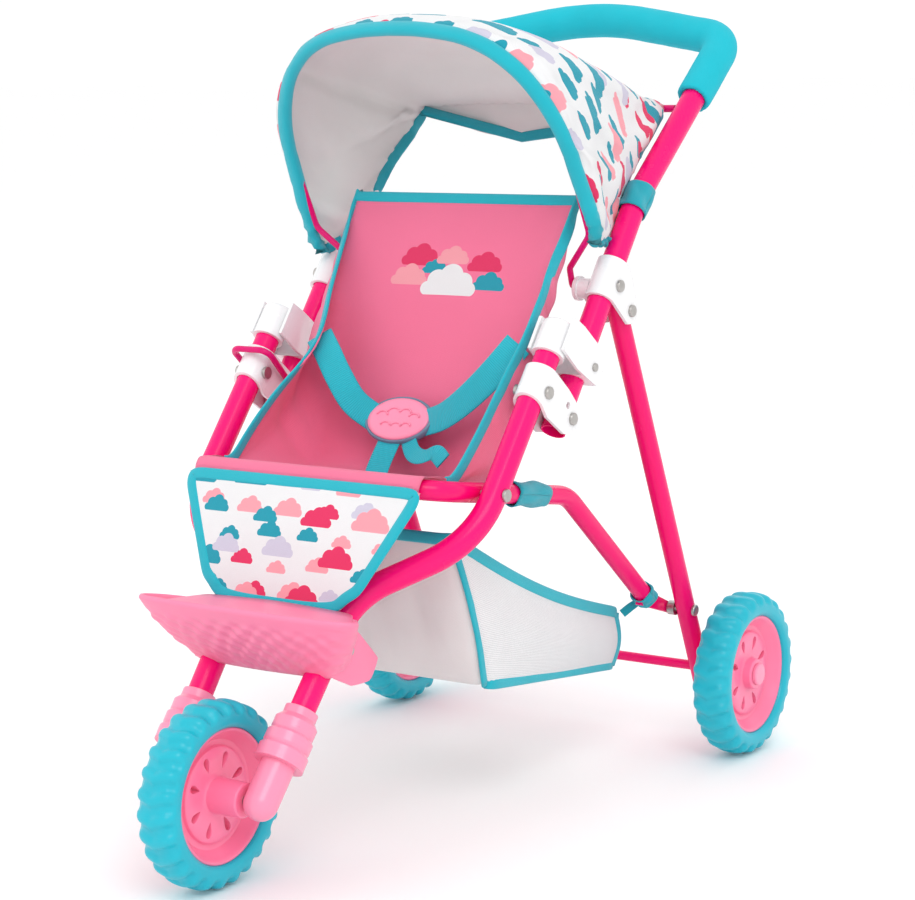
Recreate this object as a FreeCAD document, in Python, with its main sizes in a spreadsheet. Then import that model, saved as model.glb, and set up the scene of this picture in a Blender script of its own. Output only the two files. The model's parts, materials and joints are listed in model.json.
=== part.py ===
import FreeCAD, Part
import math
import os
import Sketcher
from FreeCAD import Placement, Rotation, Vector

# Three-wheeled folding doll stroller.
# Frame: X across (+X is the stroller's left side), Y fore and aft (-Y is the front), Z up,
# origin on the floor, on the middle plane, half way along the length.
# The main frame is a folding four-bar linkage in the side plane, one linkage on each side.

doc = FreeCAD.newDocument("doll_stroller")

# ---------------------------------------------------------------- driving sizes

SIZES = [
    ("wheel_radius", 67.5, "tyre tread radius"),
    ("tyre_half_width", 16.2, "half the tyre's width"),
    ("rim_radius", 48.7, "rim radius, where the tyre sits"),
    ("rim_half_width", 11.8, "half the rim's width"),
    ("rim_wall", 8.0, "depth of the rim's outer ring"),
    ("web_half", 4.0, "half the thickness of the rim's disc"),
    ("hub_radius", 12.5, "hub boss radius"),
    ("axle_radius", 4.0, "front and rear axle radius"),
    ("running_gap", 0.08, "radial clearance of a turning fit"),
    ("front_axle_back", -246.8, "front axle, Y"),
    ("rear_axle_back", 238.7, "rear axle, Y"),
    ("rear_wheel_side", 170.9, "rear wheel centre, X"),
    ("tube_side", 130.0, "side plane of the main tubes, X"),
    ("main_tube_radius", 9.5, "front and handle tube radius"),
    ("main_tube_wall", 1.2, "front and handle tube wall"),
    ("leg_radius", 8.0, "rear leg radius"),
    ("seat_tube_radius", 7.5, "seat frame tube radius"),
    ("seat_tube_side", 112.0, "seat frame arm, X"),
    ("fold_back", 12.9, "fold pivot, Y"),
    ("fold_up", 308.0, "fold pivot, Z"),
    ("leg_pivot_back", 103.2, "rear leg's top pivot, Y"),
    ("leg_pivot_up", 379.8, "rear leg's top pivot, Z"),
    ("link_back", 213.9, "seat frame's rear end on the leg, Y"),
    ("link_up", 121.5, "seat frame's rear end on the leg, Z"),
    ("seat_pivot_back", -76.5, "seat frame pivot on the front tube, Y"),
    ("seat_pivot_up", 264.3, "seat frame pivot on the front tube, Z"),
    ("bracket_bolt_back", -21.0, "fixed bolt of the lower bracket, Y"),
    ("bracket_bolt_up", 331.7, "fixed bolt of the lower bracket, Z"),
    ("clip_back", 86.9, "canopy clip, Y"),
    ("clip_up", 397.2, "canopy clip, Z"),
    ("clip_side", 111.0, "canopy clip centre, X"),
    ("canopy_rod_back", 214.0, "canopy cross rod, Y"),
    ("canopy_rod_up", 531.0, "canopy cross rod, Z"),
    ("canopy_rod_radius", 3.0, "canopy cross rod radius"),
    ("bow_radius", 2.5, "canopy bow wire radius"),
    ("bow_half_width", 129.0, "half the width of the canopy bow"),
    ("bow_top", 220.5, "top of the bow from the clip's axis"),
    ("bow_lean", 26.5, "forward lean of the bow in degrees"),
    ("grip_radius", 14.0, "foam grip radius"),
    ("handle_top_back", 303.9, "middle of the handlebar, Y"),
    ("handle_top_up", 607.5, "middle of the handlebar, Z"),
    ("bracket_gap", 0.3, "gap between a bracket and its tube"),
    ("bracket_wall", 2.6, "bracket wall"),
    ("bolt_radius", 2.5, "bolt shank radius"),
    ("bolt_head_radius", 4.8, "bolt head radius"),
    ("bolt_head_height", 2.6, "bolt head height"),
    ("catch_radius", 2.5, "catch wire radius"),
    ("fork_side", 44.0, "fork end at the axle, X"),
    ("fork_radius", 12.5, "fork end radius round the axle"),
    ("cloth", 2.4, "thickness of the plain cloth solids"),
]

sheet = doc.addObject("Spreadsheet::Sheet", "Sizes")
for row, (alias, value, note) in enumerate(SIZES, start=1):
    sheet.set(f"A{row}", note)
    sheet.set(f"B{row}", str(value))
    sheet.setAlias(f"B{row}", alias)
doc.recompute()


def size(alias):
    return float(sheet.get(alias))


# ---------------------------------------------------------------- helpers

PARTS = {}


def keep(node, obj):
    """Register obj as the sub-part called node."""
    obj.Label = node
    PARTS[node] = obj
    return obj


def bind(obj, **cells):
    """Tie properties of obj to expressions over the sheet."""
    for prop, expression in cells.items():
        obj.setExpression(prop, expression)
    return obj


def s(alias):
    return f"Sizes.{alias}"


def cylinder(name, radius, length, start, axis):
    """A cylinder whose radius and length are expressions, from start along axis."""
    obj = bind(doc.addObject("Part::Cylinder", name), Radius=radius, Height=length)
    obj.Placement = Placement(start, Rotation(Vector(0, 0, 1), axis))
    return obj


def across(name, radius, x_from, x_to, back, up):
    """A cylinder along X between two X values."""
    return cylinder(name, radius, str(abs(x_to - x_from)), Vector(min(x_from, x_to), back, up), Vector(1, 0, 0))


def fuse(name, pieces):
    obj = doc.addObject("Part::MultiFuse", name)
    obj.Shapes = pieces
    return obj


def group(name, pieces):
    """Separate solids kept together in one node."""
    obj = doc.addObject("Part::Compound", name)
    obj.Links = pieces
    return obj


def cut(name, base, tools):
    obj = doc.addObject("Part::Cut", name)
    obj.Base = base
    obj.Tool = tools[0] if len(tools) == 1 else fuse(name + "_tools", tools)
    return obj


def common(name, first, second):
    obj = doc.addObject("Part::Common", name)
    obj.Base = first
    obj.Tool = second
    return obj


def mirrored(name, source):
    obj = doc.addObject("Part::Mirroring", name)
    obj.Source = source
    obj.Normal = Vector(1, 0, 0)
    obj.Base = Vector(0, 0, 0)
    return obj


def keep_pair(node, left):
    """Register left and its mirror image as node_left and node_right."""
    keep(node + "_left", left)
    keep(node + "_right", mirrored(node + "_mirror", left))


def bent_wire(points, radii):
    """A wire through points, rounded at each inner point by its radius."""
    edges = []
    start = points[0]
    for before, corner, after, radius in zip(points, points[1:], points[2:], radii):
        into = (corner - before).normalize()
        out = (after - corner).normalize()
        turn = into.getAngle(out)
        reach = radius * math.tan(turn / 2)
        first = corner - into * reach
        last = corner + out * reach
        inward = (out - into).normalize()
        centre = corner + inward * (radius / math.cos(turn / 2))
        middle = centre - inward * radius
        edges.append(Part.LineSegment(start, first).toShape())
        edges.append(Part.Arc(first, middle, last).toShape())
        start = last
    edges.append(Part.LineSegment(start, points[-1]).toShape())
    return Part.Wire(edges)


def path(name, points, radii):
    obj = doc.addObject("Part::Feature", name)
    obj.Shape = bent_wire(points, radii)
    return obj


def rod_along(name, route, radius):
    """A round rod swept along a route; radius is an expression."""
    wire = route.Shape
    start = wire.Edges[0].Vertexes[0].Point
    heading = wire.Edges[0].tangentAt(wire.Edges[0].FirstParameter)
    ring = bind(doc.addObject("Part::Circle", name + "_section"), Radius=radius)
    ring.Placement = Placement(start, Rotation(Vector(0, 0, 1), heading))
    obj = doc.addObject("Part::Sweep", name)
    obj.Sections = [ring]
    obj.Spine = (route, [f"Edge{i + 1}" for i in range(len(wire.Edges))])
    obj.Solid = True
    obj.Frenet = False
    return obj


def tube_along(name, route, radius, wall):
    outer = rod_along(name + "_outer", route, radius)
    inner = rod_along(name + "_inner", route, f"{radius} - {wall}")
    return cut(name, outer, [inner])


def origin_plane(body, role):
    return next(f for f in body.Origin.OriginFeatures if f.Role == role)


def sketch_on(body, name, role, offset=None):
    sketch = body.newObject("Sketcher::SketchObject", name)
    sketch.AttachmentSupport = [(origin_plane(body, role), "")]
    sketch.MapMode = "FlatFace"
    if offset:
        sketch.setExpression("AttachmentOffset.Base.z", offset)
    return sketch


def draw_outline(sketch, points):
    """Straight closed outline."""
    flat = [Vector(a, b, 0) for a, b in points]
    for a, b in zip(flat, flat[1:] + flat[:1]):
        sketch.addGeometry(Part.LineSegment(a, b))


def draw_circle(sketch, centre, radius):
    """A circle whose radius is an expression."""
    index = sketch.addGeometry(Part.Circle(Vector(*centre, 0), Vector(0, 0, 1), 1.0))
    constraint = sketch.addConstraint(Sketcher.Constraint("Radius", index, 1.0))
    sketch.setExpression(f"Constraints[{constraint}]", radius)


def new_body(name):
    return doc.addObject("PartDesign::Body", name)


def pad(body, sketch, length, midplane=False, reverse=False):
    feature = body.newObject("PartDesign::Pad", sketch.Name + "_pad")
    feature.Profile = sketch
    feature.setExpression("Length", length)
    feature.Midplane = midplane
    feature.Reversed = reverse
    return feature


def plate_body(name, outline, thickness, offset=None):
    """A flat plate: outline in (Y, Z), thickness along X, centred on the offset."""
    body = new_body(name)
    sketch = sketch_on(body, name + "_outline", "YZ_Plane", offset)
    draw_outline(sketch, outline)
    pad(body, sketch, thickness, midplane=True)
    return body


def spun_body(name, outline):
    """A solid of revolution about X: outline in (X, radius)."""
    body = new_body(name)
    sketch = sketch_on(body, name + "_section", "XZ_Plane")
    draw_outline(sketch, outline)
    spin = body.newObject("PartDesign::Revolution", name + "_spin")
    spin.Profile = sketch
    spin.ReferenceAxis = (sketch, ["H_Axis"])
    spin.Angle = 360
    return body


def round_edges(name, base, radius, pick):
    """Fillet those edges of base for which pick(edge) is true."""
    doc.recompute()
    chosen = [(i + 1, radius, radius) for i, e in enumerate(base.Shape.Edges) if pick(e)]
    obj = doc.addObject("Part::Fillet", name)
    obj.Base = base
    obj.Edges = chosen
    return obj


X_AXIS = Vector(1, 0, 0)
SIDE = size("tube_side")
TUBE = size("main_tube_radius")
FOLD = Vector(SIDE, size("fold_back"), size("fold_up"))
LEG_TOP = Vector(SIDE, size("leg_pivot_back"), size("leg_pivot_up"))
LINK = Vector(size("seat_tube_side"), size("link_back"), size("link_up"))
SEAT_PIVOT = Vector(SIDE, size("seat_pivot_back"), size("seat_pivot_up"))
BRACKET_BOLT = Vector(SIDE, size("bracket_bolt_back"), size("bracket_bolt_up"))
FRONT_AXLE = Vector(0, size("front_axle_back"), size("wheel_radius"))
REAR_AXLE = Vector(0, size("rear_axle_back"), size("wheel_radius"))
CLIP = Vector(size("clip_side"), size("clip_back"), size("clip_up"))
CHEEK_IN = TUBE + size("bracket_gap")
CHEEK_OUT = CHEEK_IN + size("bracket_wall")
BOLT = size("bolt_radius")


# ---------------------------------------------------------------- front frame

# Each front tube comes down beside the seat, turns in under it and runs forward to the fork.
FRONT_SLOPE = (BRACKET_BOLT - SEAT_PIVOT).normalize()
FRONT_TOP = BRACKET_BOLT + FRONT_SLOPE * 52
FRONT_BEND = BRACKET_BOLT - FRONT_SLOPE * 126
FORK_BEND = Vector(49, -141, 193)
FORK_FOOT = Vector(size("fork_side"), FRONT_AXLE.y, FRONT_AXLE.z)
FORK_SLOPE = (FORK_BEND - FORK_FOOT).normalize()
FORK_TUBE_END = FORK_FOOT + FORK_SLOPE * 38

front_route = path("front_route", [FRONT_TOP, FRONT_BEND, FORK_BEND, FORK_TUBE_END], [70, 55])
front_tube = tube_along("front_tube_bar", front_route, s("main_tube_radius"), s("main_tube_wall"))
front_bolt_hole = across("front_bolt_hole", s("bolt_radius"), SIDE - 20, SIDE + 20,
                         BRACKET_BOLT.y, BRACKET_BOLT.z)
seat_bolt_hole = across("seat_bolt_hole", s("bolt_radius"), SIDE - 20, SIDE + 20,
                        SEAT_PIVOT.y, SEAT_PIVOT.z)
keep_pair("front_tube", cut("front_tube_drilled", front_tube, [front_bolt_hole, seat_bolt_hole]))


def local_frame(origin, rearward, upward):
    """Placement with local Y rearward and local Z upward along a tube."""
    return Placement(origin, Rotation(X_AXIS, rearward, upward, "XYZ"))


def square_to(direction):
    """The rearward direction square to a tube direction in the side plane."""
    return X_AXIS.cross(direction) * -1


FRONT_LOCAL = local_frame(BRACKET_BOLT, square_to(FRONT_SLOPE), FRONT_SLOPE)


def channel(name, low, high, reach):
    """A U channel open to the rear: rounded front round a tube, two cheeks going back by reach."""
    gap = s("bracket_gap")
    inner = f"({s('main_tube_radius')} + {gap})"
    outer = f"({inner} + {s('bracket_wall')})"
    solids = []
    for kind, radius, extra in (("out", outer, 0), ("in", inner, 5)):
        length = high - low + 2 * extra
        bar = cylinder(f"{name}_{kind}_bar", radius, str(length), Vector(0, 0, low - extra),
                       Vector(0, 0, 1))
        block = bind(doc.addObject("Part::Box", f"{name}_{kind}_block"), Length=f"2 * {radius}",
                     Width=str(reach + extra), Height=str(length))
        block.Placement.Base = Vector(-(CHEEK_OUT if kind == "out" else CHEEK_IN), 0, low - extra)
        solids.append(fuse(f"{name}_{kind}", [bar, block]))
    return cut(f"{name}_channel", solids[0], [solids[1]])


def trimmed_channel(name, outline, frame, holes):
    """A channel cut to a side outline; outline in (rearward, along), holes the same with a radius."""
    lows = [b for a, b in outline]
    reach = max(a for a, b in outline)
    base = channel(name, min(lows), max(lows), reach)
    side = plate_body(name + "_side", outline, "60")
    shaped = common(name + "_shaped", base, side)
    drills = [across(f"{name}_hole{i}", radius, -30, 30, a, b)
              for i, (a, b, radius) in enumerate(holes)]
    piece = cut(name + "_piece", shaped, drills)
    piece.Placement = frame
    return piece


def local_of(frame, point):
    """(rearward, along) of a point in a tube's own frame."""
    inside = frame.inverse().multVec(Vector(SIDE, point.y, point.z))
    return inside.y, inside.z


fold_local = local_of(FRONT_LOCAL, FOLD)
lower_outline = [(-20, 18), (24, 18), (50, 15), (55, 8), (52, -4), (38, -12), (10, -15), (-20, -6)]
CATCH_PIVOT = (30.0, 8.0)
lower_holes = [(0, 0, s("bolt_radius")), (*fold_local, s("bolt_radius")),
               (*CATCH_PIVOT, f"{s('catch_radius')} + {s('running_gap')}")]
keep_pair("lower_bracket", trimmed_channel("lower_bracket_left", lower_outline, FRONT_LOCAL, lower_holes))


def bolt(name, centre, inner_x, outer_x, nut=True):
    """A dome-headed bolt across the side plane, head outside, nut inside."""
    shank = across(name + "_shank", s("bolt_radius"), inner_x, outer_x, centre.y, centre.z)
    head = across(name + "_head", s("bolt_head_radius"), outer_x,
                  outer_x + size("bolt_head_height"), centre.y, centre.z)
    pieces = [shank, head]
    if nut:
        pieces.append(across(name + "_nut", s("bolt_head_radius"), inner_x - size("bolt_head_height"),
                             inner_x, centre.y, centre.z))
    return round_edges(name, fuse(name + "_raw", pieces), 1.2,
                       lambda e: abs(e.BoundBox.XMin - outer_x - size("bolt_head_height")) < 0.01
                       and e.BoundBox.XLength < 0.01)


def bolt_pair(node, centre, inner_x, outer_x, nut=True):
    left = bolt(node + "_left", centre, inner_x, outer_x, nut)
    keep(node, group(node + "_group", [left, mirrored(node + "_right", left)]))


bolt_pair("bracket_bolts", BRACKET_BOLT, SIDE - CHEEK_OUT, SIDE + CHEEK_OUT)
bolt_pair("fold_pivot_bolts", FOLD, SIDE - CHEEK_OUT, SIDE + CHEEK_OUT)
ARM_IN = size("seat_tube_side") - size("seat_tube_radius")
bolt_pair("seat_pivot_bolts", SEAT_PIVOT, ARM_IN - 0.4, SIDE + TUBE)

# White sleeve over the top end of each front tube; the upper latch closes on it.
sleeve = cylinder("sleeve_body", f"{s('main_tube_radius')} + 3", "28", Vector(0, 0, 31), Vector(0, 0, 1))
sleeve_round = round_edges("sleeve_round", sleeve, 3.0, lambda e: e.BoundBox.ZMin > 58.9)
sleeve_bore = cylinder("sleeve_bore", s("main_tube_radius"), "22", Vector(0, 0, 30), Vector(0, 0, 1))
sleeve_left = cut("sleeve_left", sleeve_round, [sleeve_bore])
sleeve_left.Placement = FRONT_LOCAL
keep_pair("tube_sleeve", sleeve_left)

# Fork end: stepped collar of three rings, then a plain capsule round the axle.
collar = [(0, 30), (18.3, 30), (18.3, 40), (16.6, 42), (17.2, 44), (17.2, 51), (15.4, 53),
          (15.8, 55), (15.8, 62), (12.4, 66), (12.4, 72), (0, 72)]


def fork_end():
    body = new_body("fork_collar")
    sketch = sketch_on(body, "fork_collar_section", "XZ_Plane")
    draw_outline(sketch, collar)
    spin = body.newObject("PartDesign::Revolution", "fork_collar_spin")
    spin.Profile = sketch
    spin.ReferenceAxis = (sketch, ["V_Axis"])
    spin.Angle = 360
    stem = cylinder("fork_stem", s("fork_radius"), "34", Vector(0, 0, 0), Vector(0, 0, 1))
    ball = bind(doc.addObject("Part::Sphere", "fork_ball"), Radius=s("fork_radius"))
    whole = fuse("fork_whole", [body, stem, ball])
    bore = cylinder("fork_bore", s("main_tube_radius"), "60", Vector(0, 0, 38), Vector(0, 0, 1))
    piece = cut("fork_bored", whole, [bore])
    side = (X_AXIS - FORK_SLOPE * X_AXIS.dot(FORK_SLOPE)).normalize()
    piece.Placement = Placement(FORK_FOOT, Rotation(side, FORK_SLOPE.cross(side), FORK_SLOPE, "XYZ"))
    seat = across("fork_axle_seat", s("axle_radius"), 0, FORK_FOOT.x + 8, FORK_FOOT.y, FORK_FOOT.z)
    return cut("fork_end_left", piece, [seat])


keep_pair("fork_end", fork_end())
keep("front_axle", across("front_axle_rod", s("axle_radius"), -FORK_FOOT.x - 8, FORK_FOOT.x + 8,
                          FRONT_AXLE.y, FRONT_AXLE.z))

# ---------------------------------------------------------------- wheels

T_HALF = size("tyre_half_width")
T_RAD = size("wheel_radius")
R_RAD = size("rim_radius")
R_HALF = size("rim_half_width")
LUGS = 24


def tyre(name, centre):
    """Tyre with a rounded shoulder and shallow grooves across the tread."""
    outline = [(-13.6, R_RAD), (13.6, R_RAD), (T_HALF, R_RAD + 4.5), (T_HALF, T_RAD - 7.5),
               (T_HALF - 2.4, T_RAD - 2.6), (T_HALF - 6.6, T_RAD), (-T_HALF + 6.6, T_RAD),
               (-T_HALF + 2.4, T_RAD - 2.6), (-T_HALF, T_RAD - 7.5), (-T_HALF, R_RAD + 4.5)]
    body = spun_body(name + "_ring", outline)
    groove = sketch_on(body, name + "_groove", "YZ_Plane")
    draw_outline(groove, [(-1.6, T_RAD - 2.0), (1.6, T_RAD - 2.0), (2.6, T_RAD + 1), (-2.6, T_RAD + 1)])
    pocket = body.newObject("PartDesign::Pocket", name + "_groove_cut")
    pocket.Profile = groove
    pocket.Midplane = True
    pocket.Length = 3 * T_HALF
    pattern = body.newObject("PartDesign::PolarPattern", name + "_grooves")
    pattern.Originals = [pocket]
    pattern.Axis = (groove, ["N_Axis"])
    pattern.Angle = 360
    pattern.Occurrences = LUGS
    body.Tip = pattern
    body.Placement.Base = centre
    return body


def rim(name, centre, hub_from, hub_to):
    """Dished rim: outer ring, disc with eight holes round a stepped middle, bored hub."""
    bore = size("axle_radius") + size("running_gap")
    web = size("web_half")
    ring = R_RAD - size("rim_wall")
    hub = size("hub_radius")
    outline = [(hub_from, bore), (hub_to, bore), (hub_to, hub), (web + 3, hub), (web + 3, 34),
               (web, 36), (web, ring), (R_HALF, R_RAD - 3), (R_HALF, R_RAD), (-R_HALF, R_RAD),
               (-R_HALF, R_RAD - 3), (-web, ring), (-web, 36), (-web - 3, 34), (-web - 3, hub),
               (hub_from, hub)]
    body = spun_body(name + "_disc", outline)
    holes = sketch_on(body, name + "_holes", "YZ_Plane")
    draw_circle(holes, (0, 24.5), "3.4")
    pocket = body.newObject("PartDesign::Pocket", name + "_hole_cut")
    pocket.Profile = holes
    pocket.Midplane = True
    pocket.Length = 4 * R_HALF
    pattern = body.newObject("PartDesign::PolarPattern", name + "_hole_ring")
    pattern.Originals = [pocket]
    pattern.Axis = (holes, ["N_Axis"])
    pattern.Angle = 360
    pattern.Occurrences = 8
    body.Tip = pattern
    body.Placement.Base = centre
    return body


FORK_INNER = size("fork_side") - size("fork_radius")
keep("front_tyre", tyre("front_tyre", FRONT_AXLE))
keep("front_rim", rim("front_rim", FRONT_AXLE, -FORK_INNER + 0.5, FORK_INNER - 0.5))

WHEEL = Vector(size("rear_wheel_side"), REAR_AXLE.y, REAR_AXLE.z)
HUB_IN = -15.0
HUB_OUT = 12.8
keep_pair("rear_tyre", tyre("rear_tyre", WHEEL))
keep_pair("rear_rim", rim("rear_rim", WHEEL, HUB_IN, HUB_OUT))

# ---------------------------------------------------------------- rear legs

LEG_SLOPE = (LEG_TOP - Vector(SIDE, REAR_AXLE.y, REAR_AXLE.z)).normalize()
LEG_FOOT = Vector(SIDE, REAR_AXLE.y, REAR_AXLE.z) - LEG_SLOPE * 13
LEG_HEAD = LEG_TOP + LEG_SLOPE * 9
leg_length = (LEG_HEAD - LEG_FOOT).Length
leg_outer = cylinder("leg_outer", s("leg_radius"), str(leg_length), LEG_FOOT, LEG_SLOPE)
leg_inner = cylinder("leg_inner", f"{s('leg_radius')} - 1.2", str(leg_length - 3), LEG_FOOT + LEG_SLOPE * 1.5,
                     LEG_SLOPE)
leg_axle_hole = across("leg_axle_hole", s("axle_radius"), SIDE - 20, SIDE + 20, REAR_AXLE.y, REAR_AXLE.z)
leg_top_hole = across("leg_top_hole", f"{s('bolt_radius')} + {s('running_gap')}", SIDE - 20, SIDE + 20,
                      LEG_TOP.y, LEG_TOP.z)
leg_link_hole = across("leg_link_hole", s("bolt_radius"), SIDE - 20, SIDE + 20, LINK.y, LINK.z)
keep_pair("rear_leg", cut("rear_leg_left", leg_outer, [leg_inner, leg_axle_hole, leg_top_hole, leg_link_hole]))

LEG_IN = SIDE - size("leg_radius")
LEG_OUT = SIDE + size("leg_radius")
CAP_FROM = WHEEL.x + HUB_OUT + 0.3
CAP_TO = WHEEL.x + T_HALF
keep("rear_axle", across("rear_axle_rod", s("axle_radius"), -CAP_TO + 1.5, CAP_TO - 1.5,
                         REAR_AXLE.y, REAR_AXLE.z))


def ring_piece(name, radius, hole, x_from, x_to, back, up):
    outer = across(name + "_outer", radius, x_from, x_to, back, up)
    inner = across(name + "_inner", hole, x_from - 1, x_to + 1, back, up)
    return cut(name, outer, [inner])


def ring_pair(node, radius, hole, x_from, x_to, centre):
    left = ring_piece(node + "_left", radius, hole, x_from, x_to, centre.y, centre.z)
    keep(node, group(node + "_group", [left, mirrored(node + "_right", left)]))


ring_pair("axle_spacers", "7", s("axle_radius"), LEG_OUT + 0.3, WHEEL.x + HUB_IN - 0.3, REAR_AXLE)

cap_body = across("cap_body", "9", CAP_FROM, CAP_TO, REAR_AXLE.y, REAR_AXLE.z)
cap_round = round_edges("cap_round", cap_body, 1.6, lambda e: e.BoundBox.XMin > CAP_TO - 0.01)
cap_bore = across("cap_bore", s("axle_radius"), CAP_FROM - 1, CAP_TO - 1.5, REAR_AXLE.y, REAR_AXLE.z)
cap_left = cut("cap_left", cap_round, [cap_bore])
keep("axle_caps", group("axle_caps_group", [cap_left, mirrored("cap_right", cap_left)]))

TAB_HALF = 2.5
TAB_OUT = size("seat_tube_side") + TAB_HALF
bolt_pair("link_bolts", LINK, TAB_OUT + 1.2, LEG_OUT, nut=False)
ring_pair("link_spacers", "6", s("bolt_radius"), TAB_OUT + 1.2, LEG_IN - 0.2, LINK)

# ---------------------------------------------------------------- seat frame

ARM = size("seat_tube_side")
BAR = Vector(ARM, -121, 272)
ARM_BEND = Vector(ARM, 54, 241.3)
ARM_END = Vector(ARM, 182, 134)


def opposite(point):
    return Vector(-point.x, point.y, point.z)


seat_route = path("seat_route", [ARM_END, ARM_BEND, BAR, opposite(BAR), opposite(ARM_BEND), opposite(ARM_END)],
                  [45, 26, 26, 45])
seat_bar = rod_along("seat_bar", seat_route, s("seat_tube_radius"))
tab_slope = (LINK - ARM_END).normalize()
tab_up = X_AXIS.cross(tab_slope)


def tab_outline():
    """Flattened tube end, 14 wide, reaching just past the link pivot."""
    half = 7.0
    start = ARM_END - tab_slope * 14
    end = LINK + tab_slope * 8
    corners = [start + tab_up * half, end + tab_up * (half - 3), end - tab_up * (half - 3),
               start - tab_up * half]
    return [(c.y, c.z) for c in corners]


tab = plate_body("seat_tab", tab_outline(), str(2 * TAB_HALF), s("seat_tube_side"))
seat_whole = fuse("seat_whole", [seat_bar, tab, mirrored("seat_tab_right", tab)])
seat_holes = []
for sign in (1, -1):
    low = min(sign * (ARM - 12), sign * (ARM + 12))
    tag = "left" if sign > 0 else "right"
    seat_holes.append(across("seat_pivot_hole_" + tag, f"{s('bolt_radius')} + {s('running_gap')}",
                             low, low + 24, SEAT_PIVOT.y, SEAT_PIVOT.z))
    seat_holes.append(across("seat_link_hole_" + tag, f"{s('bolt_radius')} + 0.5",
                             low, low + 24, LINK.y, LINK.z))
keep("seat_frame", cut("seat_frame_bar", seat_whole, seat_holes))

# ---------------------------------------------------------------- handle

HANDLE_SLOPE = Vector(0, 0.6152, 0.7884).normalize()
HANDLE_FOOT = FOLD - HANDLE_SLOPE * 12
HANDLE_BEND = FOLD + HANDLE_SLOPE * 196.7
UPPER_SLOPE = Vector(0, 0.762, 0.648).normalize()
MIDDLE = Vector(0, size("handle_top_back"), size("handle_top_up"))
CORNER = MIDDLE - UPPER_SLOPE * 34.6 + X_AXIS * 135
HANDLE_POINTS = [HANDLE_FOOT, HANDLE_BEND, CORNER, MIDDLE, opposite(CORNER), opposite(HANDLE_BEND),
                 opposite(HANDLE_FOOT)]
handle_route = path("handle_route", HANDLE_POINTS, [200, 24, 190, 24, 200])
handle_bar = tube_along("handle_bar", handle_route, s("main_tube_radius"), s("main_tube_wall"))
BRACKET_TOP = FOLD + HANDLE_SLOPE * 117.3
handle_holes = []
for sign in (1, -1):
    tag = "left" if sign > 0 else "right"
    low = sign * SIDE - 20
    handle_holes.append(across("fold_hole_" + tag, f"{s('bolt_radius')} + {s('running_gap')}", low, low + 40,
                               FOLD.y, FOLD.z))
    handle_holes.append(across("upper_hole_" + tag, s("bolt_radius"), low, low + 40,
                               BRACKET_TOP.y, BRACKET_TOP.z))
    stub = "rod_hole_" + tag
    handle_holes.append(across(stub, s("canopy_rod_radius"), sign * 117 - 10, sign * 117 + 10,
                               size("canopy_rod_back"), size("canopy_rod_up")))
keep("handle_tube", cut("handle_tube_drilled", handle_bar, handle_holes))

GRIP_FOOT = HANDLE_BEND + (CORNER - HANDLE_BEND).normalize() * 116
grip_route = path("grip_route", [GRIP_FOOT, CORNER, MIDDLE, opposite(CORNER), opposite(GRIP_FOOT)],
                  [24, 190, 24])
keep("handle_grip", cut("handle_grip_foam", rod_along("grip_outer", grip_route, s("grip_radius")),
                        [rod_along("grip_inner", grip_route, s("main_tube_radius"))]))

HANDLE_LOCAL = local_frame(BRACKET_TOP, square_to(HANDLE_SLOPE), HANDLE_SLOPE)
leg_local = local_of(HANDLE_LOCAL, LEG_TOP)
upper_outline = [(-20, 20), (6, 20), (20, 12), (leg_local[0] + 9, leg_local[1] + 5),
                 (leg_local[0] + 10, leg_local[1] - 5), (leg_local[0] + 2, leg_local[1] - 11),
                 (8, -15), (-20, -14)]
upper_holes = [(0, 0, s("bolt_radius")), (*leg_local, s("bolt_radius"))]
keep_pair("upper_bracket", trimmed_channel("upper_bracket_left", upper_outline, HANDLE_LOCAL, upper_holes))
bolt_pair("upper_bracket_bolts", BRACKET_TOP, SIDE - CHEEK_OUT, SIDE + CHEEK_OUT, nut=False)
bolt_pair("leg_pivot_bolts", LEG_TOP, SIDE - CHEEK_OUT, SIDE + CHEEK_OUT)

# Latch: a yoke round the handle tube whose two cheeks close on the sleeve of the front tube.
LATCH_CENTRE = FOLD + HANDLE_SLOPE * 45
LATCH_LOCAL = local_frame(LATCH_CENTRE, square_to(HANDLE_SLOPE), HANDLE_SLOPE)


def latch():
    outline = [(-46, -13), (-20, -14), (11, -10), (13, 4), (6, 17), (-30, 17), (-46, 15)]
    side = plate_body("latch_side", outline, "60")
    wide = bind(doc.addObject("Part::Box", "latch_wide"),
                Length=f"2 * ({s('main_tube_radius')} + 6.2)", Width="70", Height="40")
    wide.Placement.Base = Vector(-TUBE - 6.2, -50, -20)
    slot = bind(doc.addObject("Part::Box", "latch_slot"),
                Length=f"2 * ({s('main_tube_radius')} + 3.6)", Width="50", Height="50")
    slot.Placement.Base = Vector(-TUBE - 3.6, -60, -25)
    bore = cylinder("latch_bore", s("main_tube_radius"), "60", Vector(0, 0, -30), Vector(0, 0, 1))
    body = cut("latch_forked", common("latch_shaped", wide, side), [slot, bore])
    hole = across("latch_hole", "1.6", TUBE - 2, TUBE + 20, 0, 0)
    piece = cut("latch_left", body, [hole])
    piece.Placement = LATCH_LOCAL
    return piece


keep_pair("latch", latch())


def screw(name, centre, x_from, x_to, head):
    shank = across(name + "_shank", "1.6", x_from, x_to, centre.y, centre.z)
    cap = across(name + "_cap", str(head), x_to, x_to + 1.6, centre.y, centre.z)
    return fuse(name, [shank, cap])


def screw_pair(node, centre, x_from, x_to, head=3.2):
    left = screw(node + "_left", centre, x_from, x_to, head)
    keep(node, group(node + "_group", [left, mirrored(node + "_right", left)]))


screw_pair("latch_screws", LATCH_CENTRE, SIDE + TUBE + 0.2, SIDE + TUBE + 6.2)

# ---------------------------------------------------------------- catch wire (right side only)

WIRE = size("catch_radius")
CATCH_SIDE = CHEEK_OUT + WIRE + 0.6


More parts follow.
